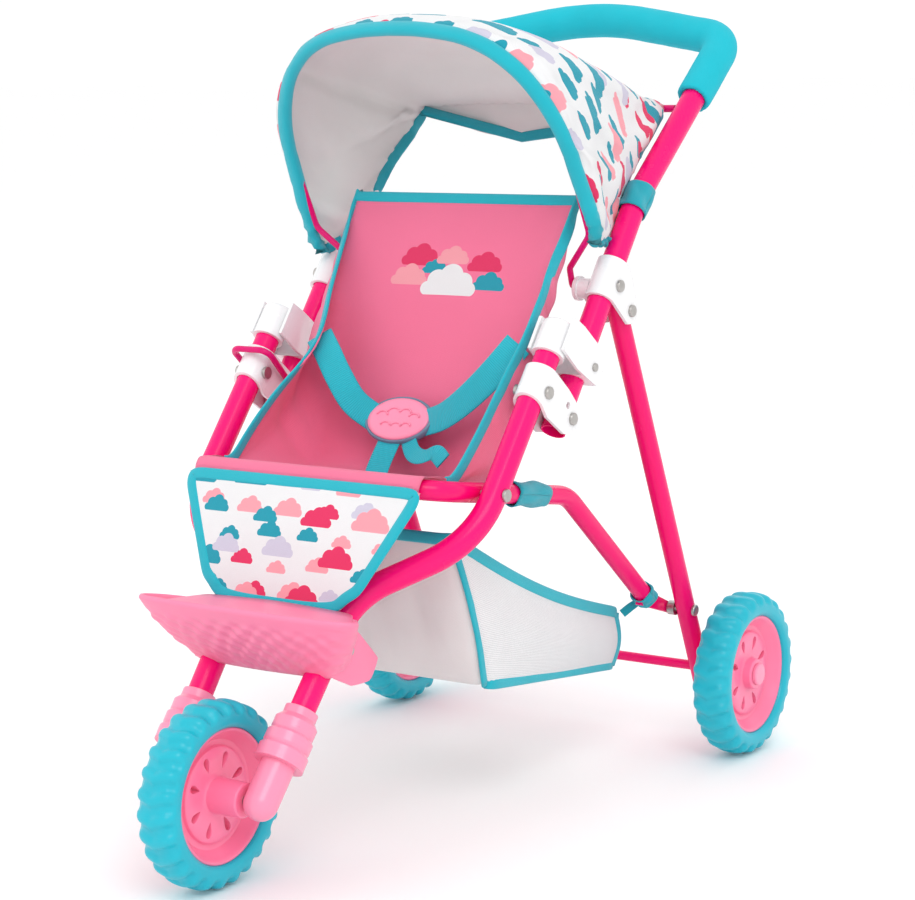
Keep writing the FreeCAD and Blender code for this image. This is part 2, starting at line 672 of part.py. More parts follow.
def catch_wire():
    """A wire bail round the front of the right-hand lower bracket, with its ends in the cheeks."""
    deep, height = CATCH_PIVOT
    front = -(CHEEK_OUT + WIRE + 2.4)
    inside = CHEEK_IN + 0.4
    points = [Vector(inside, deep, height), Vector(CATCH_SIDE, deep, height),
              Vector(CATCH_SIDE, front, height + 2), Vector(-CATCH_SIDE - 5, front, height + 2),
              Vector(-CATCH_SIDE, deep, height), Vector(-inside, deep, height)]
    route = path("catch_route", points, [2.6, 8, 8, 2.6])
    return rod_along("catch_wire_bar", route, s("catch_radius"))


catch_left = doc.addObject("Part::Compound", "catch_left")
catch_left.Links = [catch_wire()]
catch_left.Placement = FRONT_LOCAL
keep("catch_wire", mirrored("catch_wire_right", catch_left))

# ---------------------------------------------------------------- footrest

WALL = 3.0
FOOT_TOP = [(62, -166), (97, -206), (93, -213), (52, -221), (0, -224)]
FOOT_LOW = [(60, -158), (60, -184), (58, -186), (30, -188.5), (0, -189.5)]
FOOT_TOP_TILT = -0.2
FOOT_TOP_HEIGHT = 182.0
FOOT_LOW_HEIGHT = 144.0
CHEEK_OUTLINE = [(-170, 181), (-130, 147), (-139, 133), (-162, 134), (-186, 144)]


def half_ring(corners, height, tilt, inset, push):
    """Closed outline from the points of its left half; inset narrows it, push moves it back."""
    left = []
    for x, y in corners:
        rise = tilt * (y + push - corners[0][1])
        left.append(Vector(max(x - inset, 0), y + push, height + rise))
    right = [opposite(point) for point in reversed(left) if point.x > 0]
    return Part.makePolygon(left + right + left[:1])


def wedge(inset, push, sink):
    top = half_ring(FOOT_TOP, FOOT_TOP_HEIGHT - sink, FOOT_TOP_TILT, inset, push)
    low = half_ring(FOOT_LOW, FOOT_LOW_HEIGHT + sink, 0, inset, push)
    return Part.makeLoft([top, low], True, True)


def footrest():
    """Hollow wedge, open at the back, with a cheek down the outside of each fork tube."""
    shell = wedge(0, 0, 0).cut(wedge(1.6 * WALL, WALL, WALL)).cut(wedge(1.6 * WALL, 6 * WALL, WALL))
    for sign in (1, -1):
        outline = [Vector(sign * 62, y, z) for y, z in CHEEK_OUTLINE]
        cheek = Part.Face(Part.makePolygon(outline + outline[:1]))
        shell = shell.fuse(cheek.extrude(Vector(-sign * WALL, 0, 0)))
    return shell.removeSplitter()


footrest_block = doc.addObject("Part::Feature", "footrest_block")
footrest_block.Shape = footrest()
footrest_tube = rod_along("footrest_tube", front_route, f"{s('main_tube_radius')} + 0.05")
FOOT_SCREW = Vector(62, -163.5, 160)
foot_holes = [across("foot_hole_left", "1.6", 50, 70, FOOT_SCREW.y, FOOT_SCREW.z),
              across("foot_hole_right", "1.6", -70, -50, FOOT_SCREW.y, FOOT_SCREW.z)]
keep("footrest", cut("footrest_cut", footrest_block,
                     [footrest_tube, mirrored("footrest_tube_right", footrest_tube)] + foot_holes))
screw_pair("footrest_screws", FOOT_SCREW, 59.2, 62, 3.4)

# ---------------------------------------------------------------- canopy hardware

ROD_IN = SIDE - TUBE + 1.0
keep("canopy_rod", across("canopy_rod_bar", s("canopy_rod_radius"), -ROD_IN, ROD_IN,
                          size("canopy_rod_back"), size("canopy_rod_up")))

BOW = size("bow_radius")
clip_body = across("clip_body", "8", CLIP.x - 6, SIDE - CHEEK_OUT, CLIP.y, CLIP.z)
clip_flange = across("clip_flange", "9.5", CLIP.x - 6.5, CLIP.x - 3.5, CLIP.y, CLIP.z)
clip_bore = across("clip_bore", f"{s('bow_radius')} + {s('running_gap')}", CLIP.x - 9, CLIP.x + 5,
                   CLIP.y, CLIP.z)
clip_left = cut("clip_left", fuse("clip_whole", [clip_body, clip_flange]), [clip_bore])
keep_pair("canopy_clip", clip_left)

LEAN = math.radians(size("bow_lean"))


def in_plane(x, reach, lean):
    """A point at x and at a reach from the clip's axis, in the plane leaning forward by lean."""
    return Vector(x, CLIP.y - reach * math.sin(lean), CLIP.z + reach * math.cos(lean))


def bow():
    wide = size("bow_half_width")
    top = size("bow_top")
    half = [(CLIP.x + 3, 0), (CLIP.x - 11.0, 0), (CLIP.x - 8.8, 18), (wide - 1, 48),
            (wide - 0.5, 0.662 * top), (0.667 * wide, 0.943 * top), (0, 1.025 * top)]
    points = [in_plane(x, reach, LEAN) for x, reach in half]
    points += [opposite(p) for p in reversed(points[:-1])]
    bends = [4.3, 8, 14, 132, 84]
    return path("bow_route", points, bends + [256] + bends[::-1])


keep("canopy_bow", rod_along("canopy_bow_wire", bow(), s("bow_radius")))


def arch(half_width, top, power, lean, low=52.0):
    """Thin arch outline: straight sides, then a rounded top, one cloth thickness deep."""
    shoulder = 0.41 * top

    def curve(inset):
        wide = half_width - inset
        rise = top - inset - shoulder
        steps = [math.radians(180 - 18 * i) for i in range(11)]
        points = []
        for angle in steps:
            x = math.copysign(abs(math.cos(angle)) ** (2 / power), math.cos(angle))
            points.append(in_plane(wide * x, shoulder + rise * math.sin(angle) ** (2 / power), lean))
        spline = Part.BSplineCurve()
        up = in_plane(0, 1, lean) - in_plane(0, 0, lean)
        spline.interpolate(Points=points, InitialTangent=up, FinalTangent=up * -1)
        foot_left = in_plane(-wide, low, lean)
        foot_right = in_plane(wide, low, lean)
        return foot_left, points[0], spline.toShape(), points[-1], foot_right

    a, b, outer, c, d = curve(0)
    e, f, inner, g, k = curve(size("cloth"))
    return Part.Wire([Part.makeLine(a, b), outer, Part.makeLine(c, d), Part.makeLine(d, k),
                      Part.makeLine(k, g), inner, Part.makeLine(f, e), Part.makeLine(e, a)])


TIE = HANDLE_BEND + Vector(0, 0.65, -0.85)
canopy = doc.addObject("Part::Feature", "canopy_cloth")
canopy.Shape = Part.makeLoft([arch(125, 216.5, 2.4, math.radians(24.5)),
                              arch(113, 192, 8, math.radians(-43))], True, True)
rod_way = across("rod_way", f"{s('canopy_rod_radius')} + 0.4", -SIDE, SIDE, size("canopy_rod_back"),
                 size("canopy_rod_up"))
button_ways = [across("button_way_left", "5.4", 110, SIDE - 10, TIE.y, TIE.z),
               across("button_way_right", "5.4", 10 - SIDE, -110, TIE.y, TIE.z)]
keep("canopy", cut("canopy_holed", canopy, [rod_way] + button_ways))

# Cloth bands that tie the canopy to the handle, with a plastic button inboard of each.
TIE_SLOPE = (HANDLE_SLOPE + UPPER_SLOPE).normalize()


def tie_band():
    start = TIE - TIE_SLOPE * 10
    outer = cylinder("tie_outer", "11.4", "20", start, TIE_SLOPE)
    inner = cylinder("tie_inner", "9.9", "24", start - TIE_SLOPE * 2, TIE_SLOPE)
    return cut("tie_left", outer, [inner])


tie_left = tie_band()
keep("canopy_ties", group("canopy_ties_group", [tie_left, mirrored("tie_right", tie_left)]))
button_left = across("button_left", "5", SIDE - 15.2, SIDE - 11.4, TIE.y, TIE.z)
keep("tie_buttons", group("tie_buttons_group", [button_left, mirrored("button_right", button_left)]))

# ---------------------------------------------------------------- cloth parts, as plain closed solids

CLOTH = size("cloth")


def slab(name, outline, half_width):
    """Side outline (Y, Z) carried across the middle plane."""
    return plate_body(name, outline, str(2 * half_width))


def side_panel(name, outline, x_low, x_high):
    """Side outline as a thin panel at each side."""
    body = plate_body(name, outline, str(x_high - x_low))
    body.Placement.Base = Vector((x_low + x_high) / 2, 0, 0)
    return [body, mirrored(name + "_right", body)]


seat_floor = slab("seat_floor", [(-110, 263), (-110, 260.5), (-8, 255), (2, 259), (10, 292), (38, 331),
                                 (36, 333), (7.5, 294), (-1, 262), (-9, 257.5)], 100.8)
seat_wings = side_panel("seat_wing", [(-70, 278), (-64, 294), (-42, 322), (-12, 349), (6, 341), (38, 332),
                                      (9, 292), (1, 262)], 100.7, 102.7)
keep("seat_base", fuse("seat_base_cloth", [seat_floor] + seat_wings))

back_panel = slab("back_panel", [(52, 350), (54.3, 349.3), (90.6, 465.3), (88.4, 466)], 98)
back_wings = side_panel("back_wing", [(88.6, 466), (68.5, 436), (13.4, 373), (-2, 359.5), (53, 350)], 95.9, 97.9)
keep("seat_back", fuse("seat_back_cloth", [back_panel] + back_wings))

CALF_TOP = Vector(109, -131.5, 272)
CALF_FOOT = Vector(60, -168.5, 184)


def calf_panel():
    """Tapered panel hanging in front of the seat."""
    ring = [CALF_TOP, CALF_FOOT, opposite(CALF_FOOT), opposite(CALF_TOP), CALF_TOP]
    face = Part.Face(Part.makePolygon(ring))
    normal = (CALF_FOOT - CALF_TOP).cross(X_AXIS).normalize()
    return face.extrude(normal * CLOTH)


calf = doc.addObject("Part::Feature", "calf_cloth")
calf.Shape = calf_panel()
keep("calf_panel", calf)

BASKET_HALF = 96
basket_outline = [(-72, 228), (-31.6, 105), (169, 77), (178, 122), (60, 180)]
basket_inside = [(-68, 250), (-68, 228), (-29.8, 107.6), (167, 79.8), (175.4, 122), (178, 150)]
keep("basket", cut("basket_cloth", slab("basket_outer", basket_outline, BASKET_HALF),
                   [slab("basket_inner", basket_inside, BASKET_HALF - CLOTH)]))

# ---------------------------------------------------------------- harness

BUCKLE = Vector(0, -3, 297)
BUCKLE_LEAN = 52.0


def buckle():
    oval = bind(doc.addObject("Part::Ellipse", "buckle_oval"), MajorRadius="29", MinorRadius="19")
    plate = doc.addObject("Part::Extrusion", "buckle_plate")
    plate.Base = oval
    plate.DirMode = "Normal"
    plate.LengthFwd = 7
    plate.Solid = True
    plate.Placement = Placement(BUCKLE, Rotation(X_AXIS, BUCKLE_LEAN))
    return round_edges("buckle_round", plate, 1.8, lambda e: True)


keep("harness_buckle", buckle())


def strap(name, start, end, width, facing):
    """A flat strap between two points; facing is roughly its outward normal."""
    run = end - start
    side = run.cross(facing).normalize() * (width / 2)
    face = Part.Face(Part.makePolygon([start + side, end + side, end - side, start - side, start + side]))
    obj = doc.addObject("Part::Feature", name)
    obj.Shape = face.extrude(run.cross(side).normalize() * -1.6)
    return obj


def straps():
    """Two shoulder straps from the seat's sides to the buckle and one crotch strap below it."""
    facing = Vector(0, -0.79, 0.62)
    ends = [("strap_left", Vector(98, 41, 339.5), BUCKLE + Vector(27, 4, 8), 20),
            ("strap_right", Vector(-98, 41, 339.5), BUCKLE + Vector(-27, 4, 8), 20),
            ("strap_crotch", BUCKLE + Vector(0, -13, -16), Vector(0, -34, 264), 20)]
    return [strap(name, start, end, width, facing) for name, start, end, width in ends]


keep("harness_straps", group("harness_straps_group", straps()))

# ---------------------------------------------------------------- checks and output


def check(objects):
    for obj in objects:
        bad = [state for state in obj.State if state in ("Invalid", "Error")]
        if bad:
            raise RuntimeError(f"{obj.Label}: {bad}")
    for node, obj in PARTS.items():
        shape = obj.Shape
        if shape.isNull() or not shape.isValid() or not shape.Solids:
            raise RuntimeError(f"{node}: null or not valid")


doc.recompute()
check(doc.Objects)
os.makedirs("parts", exist_ok=True)
for node, obj in PARTS.items():
    obj.Shape.exportStep(f"parts/{node}.step")
print(len(PARTS), "parts")
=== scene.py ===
import json
import math

import bpy
import numpy as np
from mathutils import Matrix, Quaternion, Vector, noise


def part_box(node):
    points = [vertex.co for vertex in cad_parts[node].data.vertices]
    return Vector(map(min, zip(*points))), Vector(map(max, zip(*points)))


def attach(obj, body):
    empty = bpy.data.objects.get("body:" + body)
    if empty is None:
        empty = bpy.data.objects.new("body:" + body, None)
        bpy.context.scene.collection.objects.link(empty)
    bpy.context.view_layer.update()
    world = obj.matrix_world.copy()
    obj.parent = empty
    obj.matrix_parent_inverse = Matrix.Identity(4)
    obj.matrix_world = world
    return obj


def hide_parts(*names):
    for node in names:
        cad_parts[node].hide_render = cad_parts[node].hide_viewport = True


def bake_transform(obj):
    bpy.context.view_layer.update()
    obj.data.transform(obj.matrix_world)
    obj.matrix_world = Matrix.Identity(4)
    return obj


# Looks of the three-wheeled doll stroller. Metres, in the CAD frame: +X is the stroller's left,
# -Y its front, +Z up. Outlines are written in millimetres and turned into metres by mm().

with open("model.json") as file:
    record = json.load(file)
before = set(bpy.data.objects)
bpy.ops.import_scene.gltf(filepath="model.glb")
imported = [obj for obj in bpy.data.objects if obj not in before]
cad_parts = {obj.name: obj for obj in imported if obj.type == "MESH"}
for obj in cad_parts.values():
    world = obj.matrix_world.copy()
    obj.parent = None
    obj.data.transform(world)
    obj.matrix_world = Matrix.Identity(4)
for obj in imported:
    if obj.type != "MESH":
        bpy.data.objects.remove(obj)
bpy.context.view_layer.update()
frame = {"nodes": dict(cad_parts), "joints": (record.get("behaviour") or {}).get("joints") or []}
NODES = frame["nodes"]
JOINT = {joint["name"]: joint for joint in frame["joints"]}
MM = 0.001
SIDES = (("left", 1), ("right", -1))


def mm(*values):
    return np.array(values, float) * MM


def pivot(joint):
    return np.array(JOINT[joint]["pos_m"], float)


CLIP = pivot("canopy_swing")
FRONT_AXLE = pivot("front_wheel_spin")

# ---------------------------------------------------------------- colours (linear)

TUBE_PINK = (0.90, 0.001, 0.170)
LEG_PINK = (0.86, 0.001, 0.150)
WIRE_PINK = (0.68, 0.001, 0.150)
PALE_PINK = (0.96, 0.280, 0.440)
RIM_PINK = (0.96, 0.210, 0.380)
FOOT_PINK = (0.93, 0.230, 0.390)
SEAT_PINK = (1.00, 0.190, 0.350)
CYAN = (0.000, 0.490, 0.600)
DEEP_CYAN = (0.004, 0.400, 0.500)
TYRE_CYAN = (0.000, 0.460, 0.580)
WHITE = (0.86, 0.86, 0.87)
LINING = (0.84, 0.82, 0.81)
RIM_BLUE = (0.130, 0.230, 0.330)
STEEL = (0.50, 0.48, 0.46)
CLOUD_TEAL = (0.000, 0.330, 0.440)
CLOUD_RED = (0.800, 0.020, 0.120)
CLOUD_ROSE = (0.960, 0.360, 0.420)
CLOUD_GREY = (0.640, 0.610, 0.740)

# ---------------------------------------------------------------- node materials


class Look:
    """A procedural material under construction round one Principled shader."""

    def __init__(self, name, roughness, **constants):
        self.material = bpy.data.materials.new(name)
        self.material.use_nodes = True
        self.tree = self.material.node_tree
        self.shader = self.tree.nodes["Principled BSDF"]
        self.shader.inputs["Roughness"].default_value = roughness
        for socket, value in constants.items():
            self.shader.inputs[socket.replace("_", " ")].default_value = value

    def add(self, kind, settings=None, **inputs):
        node = self.tree.nodes.new("ShaderNode" + kind)
        for key, value in (settings or {}).items():
            setattr(node, key, value)
        for key, value in inputs.items():
            self.feed(node.inputs[key.replace("_", " ")], value)
        return node

    def feed(self, socket, value):
        if isinstance(value, bpy.types.NodeSocket):
            self.tree.links.new(value, socket)
        else:
            socket.default_value = value

    def math(self, operation, first, second=0.0):
        node = self.add("Math", {"operation": operation})
        self.feed(node.inputs[0], first)
        self.feed(node.inputs[1], second)
        return node.outputs[0]

    def span_to(self, across, up):
        """Length of the flat vector (across, up)."""
        squares = [self.math("MULTIPLY", part, part) for part in (across, up)]
        return self.math("SQRT", self.math("ADD", *squares))

    def place(self, uv=False):
        coordinates = self.add("TexCoord")
        return coordinates.outputs["UV" if uv else "Object"]

    def noise(self, where, scale, detail=3.0):
        return self.add("TexNoise", Vector=where, Scale=scale, Detail=detail).outputs["Fac"]

    def span(self, value, low, high):
        return self.add("MapRange", Value=value, To_Min=low, To_Max=high).outputs[0]

    def mix(self, share, first, second, mode="MIX"):
        node = self.add("Mix", {"data_type": "RGBA", "blend_type": mode})
        self.feed(node.inputs["Factor"], share)
        self.feed(node.inputs[6], first)
        self.feed(node.inputs[7], second)
        return node.outputs[2]

    def colour(self, socket):
        self.tree.links.new(socket, self.shader.inputs["Base Color"])

    def shades(self, where, colour, scale, dark=0.88, light=1.06):
        """The colour, a little darker and lighter in slow patches."""
        patch = self.noise(where, scale)
        low = tuple(c * dark for c in colour) + (1,)
        high = tuple(min(c * light, 1) for c in colour) + (1,)
        return self.mix(self.span(patch, 0.0, 1.0), low, high)

    def rough(self, where, scale, low, high):
        self.tree.links.new(self.span(self.noise(where, scale), low, high), self.shader.inputs["Roughness"])

    def bump(self, height, distance, strength=1.0, edge=0.0):
        node = self.add("Bump", Height=height, Distance=distance, Strength=strength)
        if edge:
            soft = self.add("Bevel", {"samples": 4}, Radius=edge)
            self.tree.links.new(soft.outputs[0], node.inputs["Normal"])
        self.tree.links.new(node.outputs[0], self.shader.inputs["Normal"])


def plastic(name, colour, low=0.22, high=0.36, grain=0.00002, edge=0.0007, coat=0.0):
    """Moulded plastic: flow patches, fine grain, softened edges."""
    look = Look(name, low, Coat_Weight=coat, Coat_Roughness=0.08)
    where = look.place()
    look.colour(look.shades(where, colour, 26.0, 0.93, 1.04))
    look.rough(where, 90.0, low, high)
    look.bump(look.noise(where, 1400.0, 2.0), grain, edge=edge)
    return look.material


def paint(name, colour):
    """Glossy powder paint on steel tube, with a faint orange peel."""
    look = Look(name, 0.24, Coat_Weight=0.1, Coat_Roughness=0.1, Specular_IOR_Level=0.22)
    where = look.place()
    look.colour(look.shades(where, colour, 14.0, 0.97, 1.03))
    look.rough(where, 40.0, 0.22, 0.30)
    look.bump(look.noise(where, 300.0, 2.0), 0.000008)
    return look.material


def metal(name, colour):
    """Zinc-plated steel with fine turned scratches."""
    look = Look(name, 0.3, Metallic=1.0)
    where = look.place()
    look.colour(look.shades(where, colour, 200.0, 0.75, 1.1))
    look.rough(where, 500.0, 0.22, 0.45)
    look.bump(look.noise(where, 2200.0, 4.0), 0.00003, edge=0.0005)
    return look.material


def rubbery(name, colour, low, high, grain, scale):
    """Foam or soft tyre compound: pores, and a duller shine in patches."""
    look = Look(name, low)
    where = look.place()
    look.colour(look.shades(where, colour, 30.0, 0.88, 1.06))
    look.rough(where, 70.0, low, high)
    pores = look.add("TexVoronoi", Vector=where, Scale=scale).outputs["Distance"]
    look.bump(pores, grain)
    return look.material


def weave_height(look, where, pitch):
    """Height of a plain weave from two crossed sets of bands."""
    split = look.add("SeparateXYZ", Vector=where)
    turn = 2 * math.pi / pitch
    warp = look.math("SINE", look.math("MULTIPLY", split.outputs[0], turn))
    weft = look.math("SINE", look.math("MULTIPLY", split.outputs[1], turn))
    return look.math("MULTIPLY", warp, weft)


def finish_cloth(look, where, colour, pitch, depth):
    height = weave_height(look, where, pitch)
    # The low threads of the weave are painted darker: painted shade in the hollows of the weave.
    hollow_shade = look.span(height, 0.90, 1.03)
    threads = look.noise(where, 900.0, 2.0)
    hollow_shaded = look.mix(1.0, colour, look.add("CombineColor", Red=hollow_shade, Green=hollow_shade, Blue=hollow_shade).outputs[0],
                     "MULTIPLY")
    look.colour(hollow_shaded)
    look.bump(look.math("ADD", height, threads), depth)


def cloth(name, colour, pitch=0.0011, depth=0.00012, sheen=0.25):
    """Plain woven cloth in one colour, in the sheet's own coordinates."""
    look = Look(name, 0.82, Sheen_Weight=sheen, Sheen_Roughness=0.5)
    where = look.place(uv=True)
    look.rough(where, 40.0, 0.72, 0.92)
    finish_cloth(look, where, look.shades(where, colour, 22.0, 0.90, 1.04), pitch, depth)
    return look.material


def webbing(name, colour):
    """Ribbed webbing: bands across the strap."""
    look = Look(name, 0.6, Sheen_Weight=0.15)
    where = look.place(uv=True)
    split = look.add("SeparateXYZ", Vector=where)
    ribs = look.math("SINE", look.math("MULTIPLY", split.outputs[0], 2 * math.pi / 0.0016))
    # The rib valleys are painted darker: painted shade in the hollows between the ribs.
    hollow_shade = look.span(ribs, 0.86, 1.02)
    shade = look.add("CombineColor", Red=hollow_shade, Green=hollow_shade, Blue=hollow_shade).outputs[0]
    look.colour(look.mix(1.0, look.shades(where, colour, 30.0, 0.9, 1.06), shade, "MULTIPLY"))
    look.rough(where, 60.0, 0.5, 0.72)
    look.bump(ribs, 0.00014)
    return look.material


LOBES = [(-0.42, 0.16, 0.36), (0.06, 0.30, 0.42), (0.50, 0.10, 0.34)]


def cloud_shape(look, across, up):
    """How far a point lies outside a flat-bottomed cloud 2 wide; below 0 is inside."""
    past = look.math("MAXIMUM", look.math("SUBTRACT", look.math("ABSOLUTE", across), 0.74), 0.0)
    low = look.math("ADD", up, 0.12)
    nearest = look.span_to(past, low)
    nearest = look.math("SUBTRACT", nearest, 0.24)
    for x, y, radius in LOBES:
        dx = look.math("SUBTRACT", across, x)
        dy = look.math("SUBTRACT", up, y)
        far = look.math("SUBTRACT", look.span_to(dx, dy), radius)
        nearest = look.math("MINIMUM", nearest, far)
    floor = look.math("SUBTRACT", -0.34, up)
    return look.math("MAXIMUM", nearest, floor)


def cloud_rows(look, where, colour, cell, size, shift):
    """Adds staggered rows of clouds in four colours over the colour."""
    moved = look.add("VectorMath", {"operation": "ADD"})
    look.feed(moved.inputs[0], where)
    moved.inputs[1].default_value = (*shift, 0)
    split = look.add("SeparateXYZ", Vector=moved.outputs[0])
    row = look.math("DIVIDE", split.outputs[1], cell[1])
    row_id = look.math("FLOOR", row)
    stagger = look.math("MULTIPLY", look.math("MODULO", row_id, 2.0), 0.5)
    column = look.math("ADD", look.math("DIVIDE", split.outputs[0], cell[0]), stagger)
    column_id = look.math("FLOOR", column)
    ident = look.add("CombineXYZ", X=column_id, Y=row_id).outputs[0]
    chance = look.add("TexWhiteNoise", {"noise_dimensions": "2D"}, Vector=ident)
    pick = look.add("SeparateColor", Color=chance.outputs["Color"])
    across = look.math("SUBTRACT", look.math("SUBTRACT", column, column_id), 0.5)
    up = look.math("SUBTRACT", look.math("SUBTRACT", row, row_id), 0.5)
    across = look.math("ADD", across, look.span(pick.outputs[0], -0.14, 0.14))
    up = look.math("ADD", up, look.span(pick.outputs[1], -0.14, 0.14))
    grown = look.span(pick.outputs[2], 0.75, 1.25)
    across = look.math("DIVIDE", look.math("MULTIPLY", across, cell[0] / size), grown)
    up = look.math("DIVIDE", look.math("MULTIPLY", up, cell[1] / size), grown)
    inside = look.math("LESS_THAN", cloud_shape(look, across, up), 0.0)
    ramp = look.add("ValToRGB", Fac=chance.outputs["Value"])
    ramp.color_ramp.interpolation = "CONSTANT"
    stops = [(0.0, CLOUD_TEAL), (0.34, CLOUD_RED), (0.58, CLOUD_ROSE), (0.82, CLOUD_GREY)]
    while len(ramp.color_ramp.elements) < len(stops):
        ramp.color_ramp.elements.new(0.5)
    for element, (position, tint) in zip(ramp.color_ramp.elements, stops):
        element.position = position
        element.color = (*tint, 1)
    return look.mix(inside, colour, ramp.outputs[0])


def printed(name, cell, size):
    """White cloth printed with staggered clouds."""
    look = Look(name, 0.85, Sheen_Weight=0.15)
    where = look.place(uv=True)
    colour = look.shades(where, WHITE, 15.0, 0.96, 1.02)
    colour = cloud_rows(look, where, colour, cell, size * 0.8, (0.013, 0.007))
    colour = cloud_rows(look, where, colour, (cell[0] * 1.37, cell[1] * 1.31), size, (0.041, 0.019))
    finish_cloth(look, where, colour, 0.0011, 0.0001)
    return look.material


def motif(name, colour, centre, patches):
    """Plain cloth with a small cluster of printed clouds: patches are (x, y, half width, colour)."""
    look = Look(name, 0.80, Sheen_Weight=0.2, Sheen_Roughness=0.5)
    where = look.place(uv=True)
    look.rough(where, 40.0, 0.70, 0.90)
    split = look.add("SeparateXYZ", Vector=where)
    base = look.shades(where, colour, 20.0, 0.92, 1.03)
    for x, y, half, tint in patches:
        across = look.math("DIVIDE", look.math("SUBTRACT", split.outputs[0], centre[0] + x), half)
        up = look.math("DIVIDE", look.math("SUBTRACT", split.outputs[1], centre[1] + y), half)
        inside = look.math("LESS_THAN", cloud_shape(look, across, up), 0.0)
        base = look.mix(inside, base, (*tint, 1))
    finish_cloth(look, where, base, 0.0011, 0.00012)
    return look.material


def mesh_cloth(name):
    """Open warp-knit mesh: rows of small holes painted grey, as painted shade for the shaded inside seen
    through them.
    """
    look = Look(name, 0.75, Sheen_Weight=0.2)
    where = look.place(uv=True)
    split = look.add("SeparateXYZ", Vector=where)
    pitch = 2 * math.pi / 0.0026
    first, second = (look.math("SINE", look.math("MULTIPLY", look.math(way, split.outputs[0], split.outputs[1]),
                                                 pitch)) for way in ("ADD", "SUBTRACT"))
    height = look.math("MULTIPLY", first, second)
    hole = look.math("GREATER_THAN", height, 0.62)
    base = look.shades(where, WHITE, 20.0, 0.95, 1.02)
    # Painted shade: the holes are coloured grey for the dark inside of the basket seen through them.
    look.colour(look.mix(hole, base, (0.50, 0.52, 0.54, 1)))
    look.bump(height, 0.0002)
    return look.material


M = {
    "tube": paint("tube_paint", TUBE_PINK),
    "leg": paint("leg_paint", LEG_PINK),
    "wire": paint("wire_paint", WIRE_PINK),
    "steel": metal("zinc_steel", STEEL),
    "white": plastic("white_plastic", WHITE, 0.2, 0.32, coat=0.3),
    "pale": plastic("pale_pink_plastic", PALE_PINK, 0.24, 0.36, coat=0.25),
    "rim": plastic("rim_plastic", RIM_PINK, 0.26, 0.40, coat=0.2),
    "foot": plastic("footrest_plastic", FOOT_PINK, 0.36, 0.50, grain=0.00004),
    "tyre": rubbery("tyre_compound", TYRE_CYAN, 0.26, 0.44, 0.00003, 900.0),
    "grip": rubbery("grip_foam", CYAN, 0.70, 0.90, 0.00016, 1500.0),
    "seat": motif("seat_cloth", SEAT_PINK, mm(0, 306), [
        (-0.026, 0.010, 0.017, CLOUD_RED), (0.030, 0.006, 0.015, CLOUD_RED),
        (-0.012, 0.002, 0.011, CLOUD_TEAL), (0.036, -0.009, 0.014, CLOUD_TEAL),
        (-0.033, -0.006, 0.016, CLOUD_ROSE), (0.002, 0.011, 0.014, CLOUD_ROSE),
        (0.002, -0.011, 0.024, WHITE)]),
    "seat_plain": cloth("seat_plain_cloth", SEAT_PINK, 0.0011, 0.00012),
    "band": cloth("band_cloth", CYAN, 0.0010, 0.0001),
    "dark_band": cloth("dark_band_cloth", DEEP_CYAN, 0.0010, 0.0001),
    "print": printed("printed_cloth", (0.035, 0.021), 0.0135),
    "lining": cloth("lining_cloth", LINING, 0.0010, 0.0001, 0.1),
    "mesh": mesh_cloth("basket_mesh"),
    "strap": webbing("strap_webbing", CYAN),
    "buckle": plastic("buckle_plastic", PALE_PINK, 0.28, 0.42, coat=0.2),
    "buckle_rim": plastic("buckle_rim_plastic", RIM_BLUE, 0.3, 0.42),
}

CAD_LOOK = {
    "tube": ["front_tube_left", "front_tube_right", "handle_tube"],
    "leg": ["rear_leg_left", "rear_leg_right", "rear_axle", "seat_frame"],
    "wire": ["catch_wire", "canopy_rod", "canopy_bow"],
    "steel": ["bracket_bolts", "fold_pivot_bolts", "seat_pivot_bolts", "link_bolts", "link_spacers",
              "leg_pivot_bolts", "upper_bracket_bolts", "latch_screws", "footrest_screws", "front_axle"],
    "white": ["lower_bracket_left", "lower_bracket_right", "upper_bracket_left", "upper_bracket_right",
              "tube_sleeve_left", "tube_sleeve_right", "latch_left", "latch_right", "canopy_clip_left",
              "canopy_clip_right", "axle_spacers"],
    "pale": ["fork_end_left", "fork_end_right", "axle_caps"],
}
for look_name, nodes in CAD_LOOK.items():
    for node in nodes:
        data = NODES[node].data
        data.materials.clear()
        data.materials.append(M[look_name])

# ---------------------------------------------------------------- mesh helpers


def put(name, points, faces, material, uvs=None, smooth=True):
    """A mesh object; uvs holds one (u, v) for each face corner in face order."""
    mesh = bpy.data.meshes.new(name)
    mesh.from_pydata([tuple(p) for p in points], [], [tuple(f) for f in faces])
    mesh.materials.append(M[material])
    if uvs is not None:
        layer = mesh.uv_layers.new(name="UVMap")
        layer.data.foreach_set("uv", np.asarray(uvs, float).ravel())
    mesh.polygons.foreach_set("use_smooth", [smooth] * len(mesh.polygons))
    mesh.validate()
    mesh.update()
    obj = bpy.data.objects.new(name, mesh)
    bpy.context.scene.collection.objects.link(obj)
    return obj


def quads(rows, columns, wrap_rows=False, wrap_columns=False):
    """Faces of a grid of points stored row by row."""
    faces = []
    for i in range(rows if wrap_rows else rows - 1):
        for j in range(columns if wrap_columns else columns - 1):
            nxt_i, nxt_j = (i + 1) % rows, (j + 1) % columns
            faces.append((i * columns + j, i * columns + nxt_j, nxt_i * columns + nxt_j, nxt_i * columns + j))
    return faces


def lengths(points):
    """Running length along a line of points."""
    steps = np.linalg.norm(np.diff(points, axis=0), axis=1)
    return np.concatenate([[0], np.cumsum(steps)])


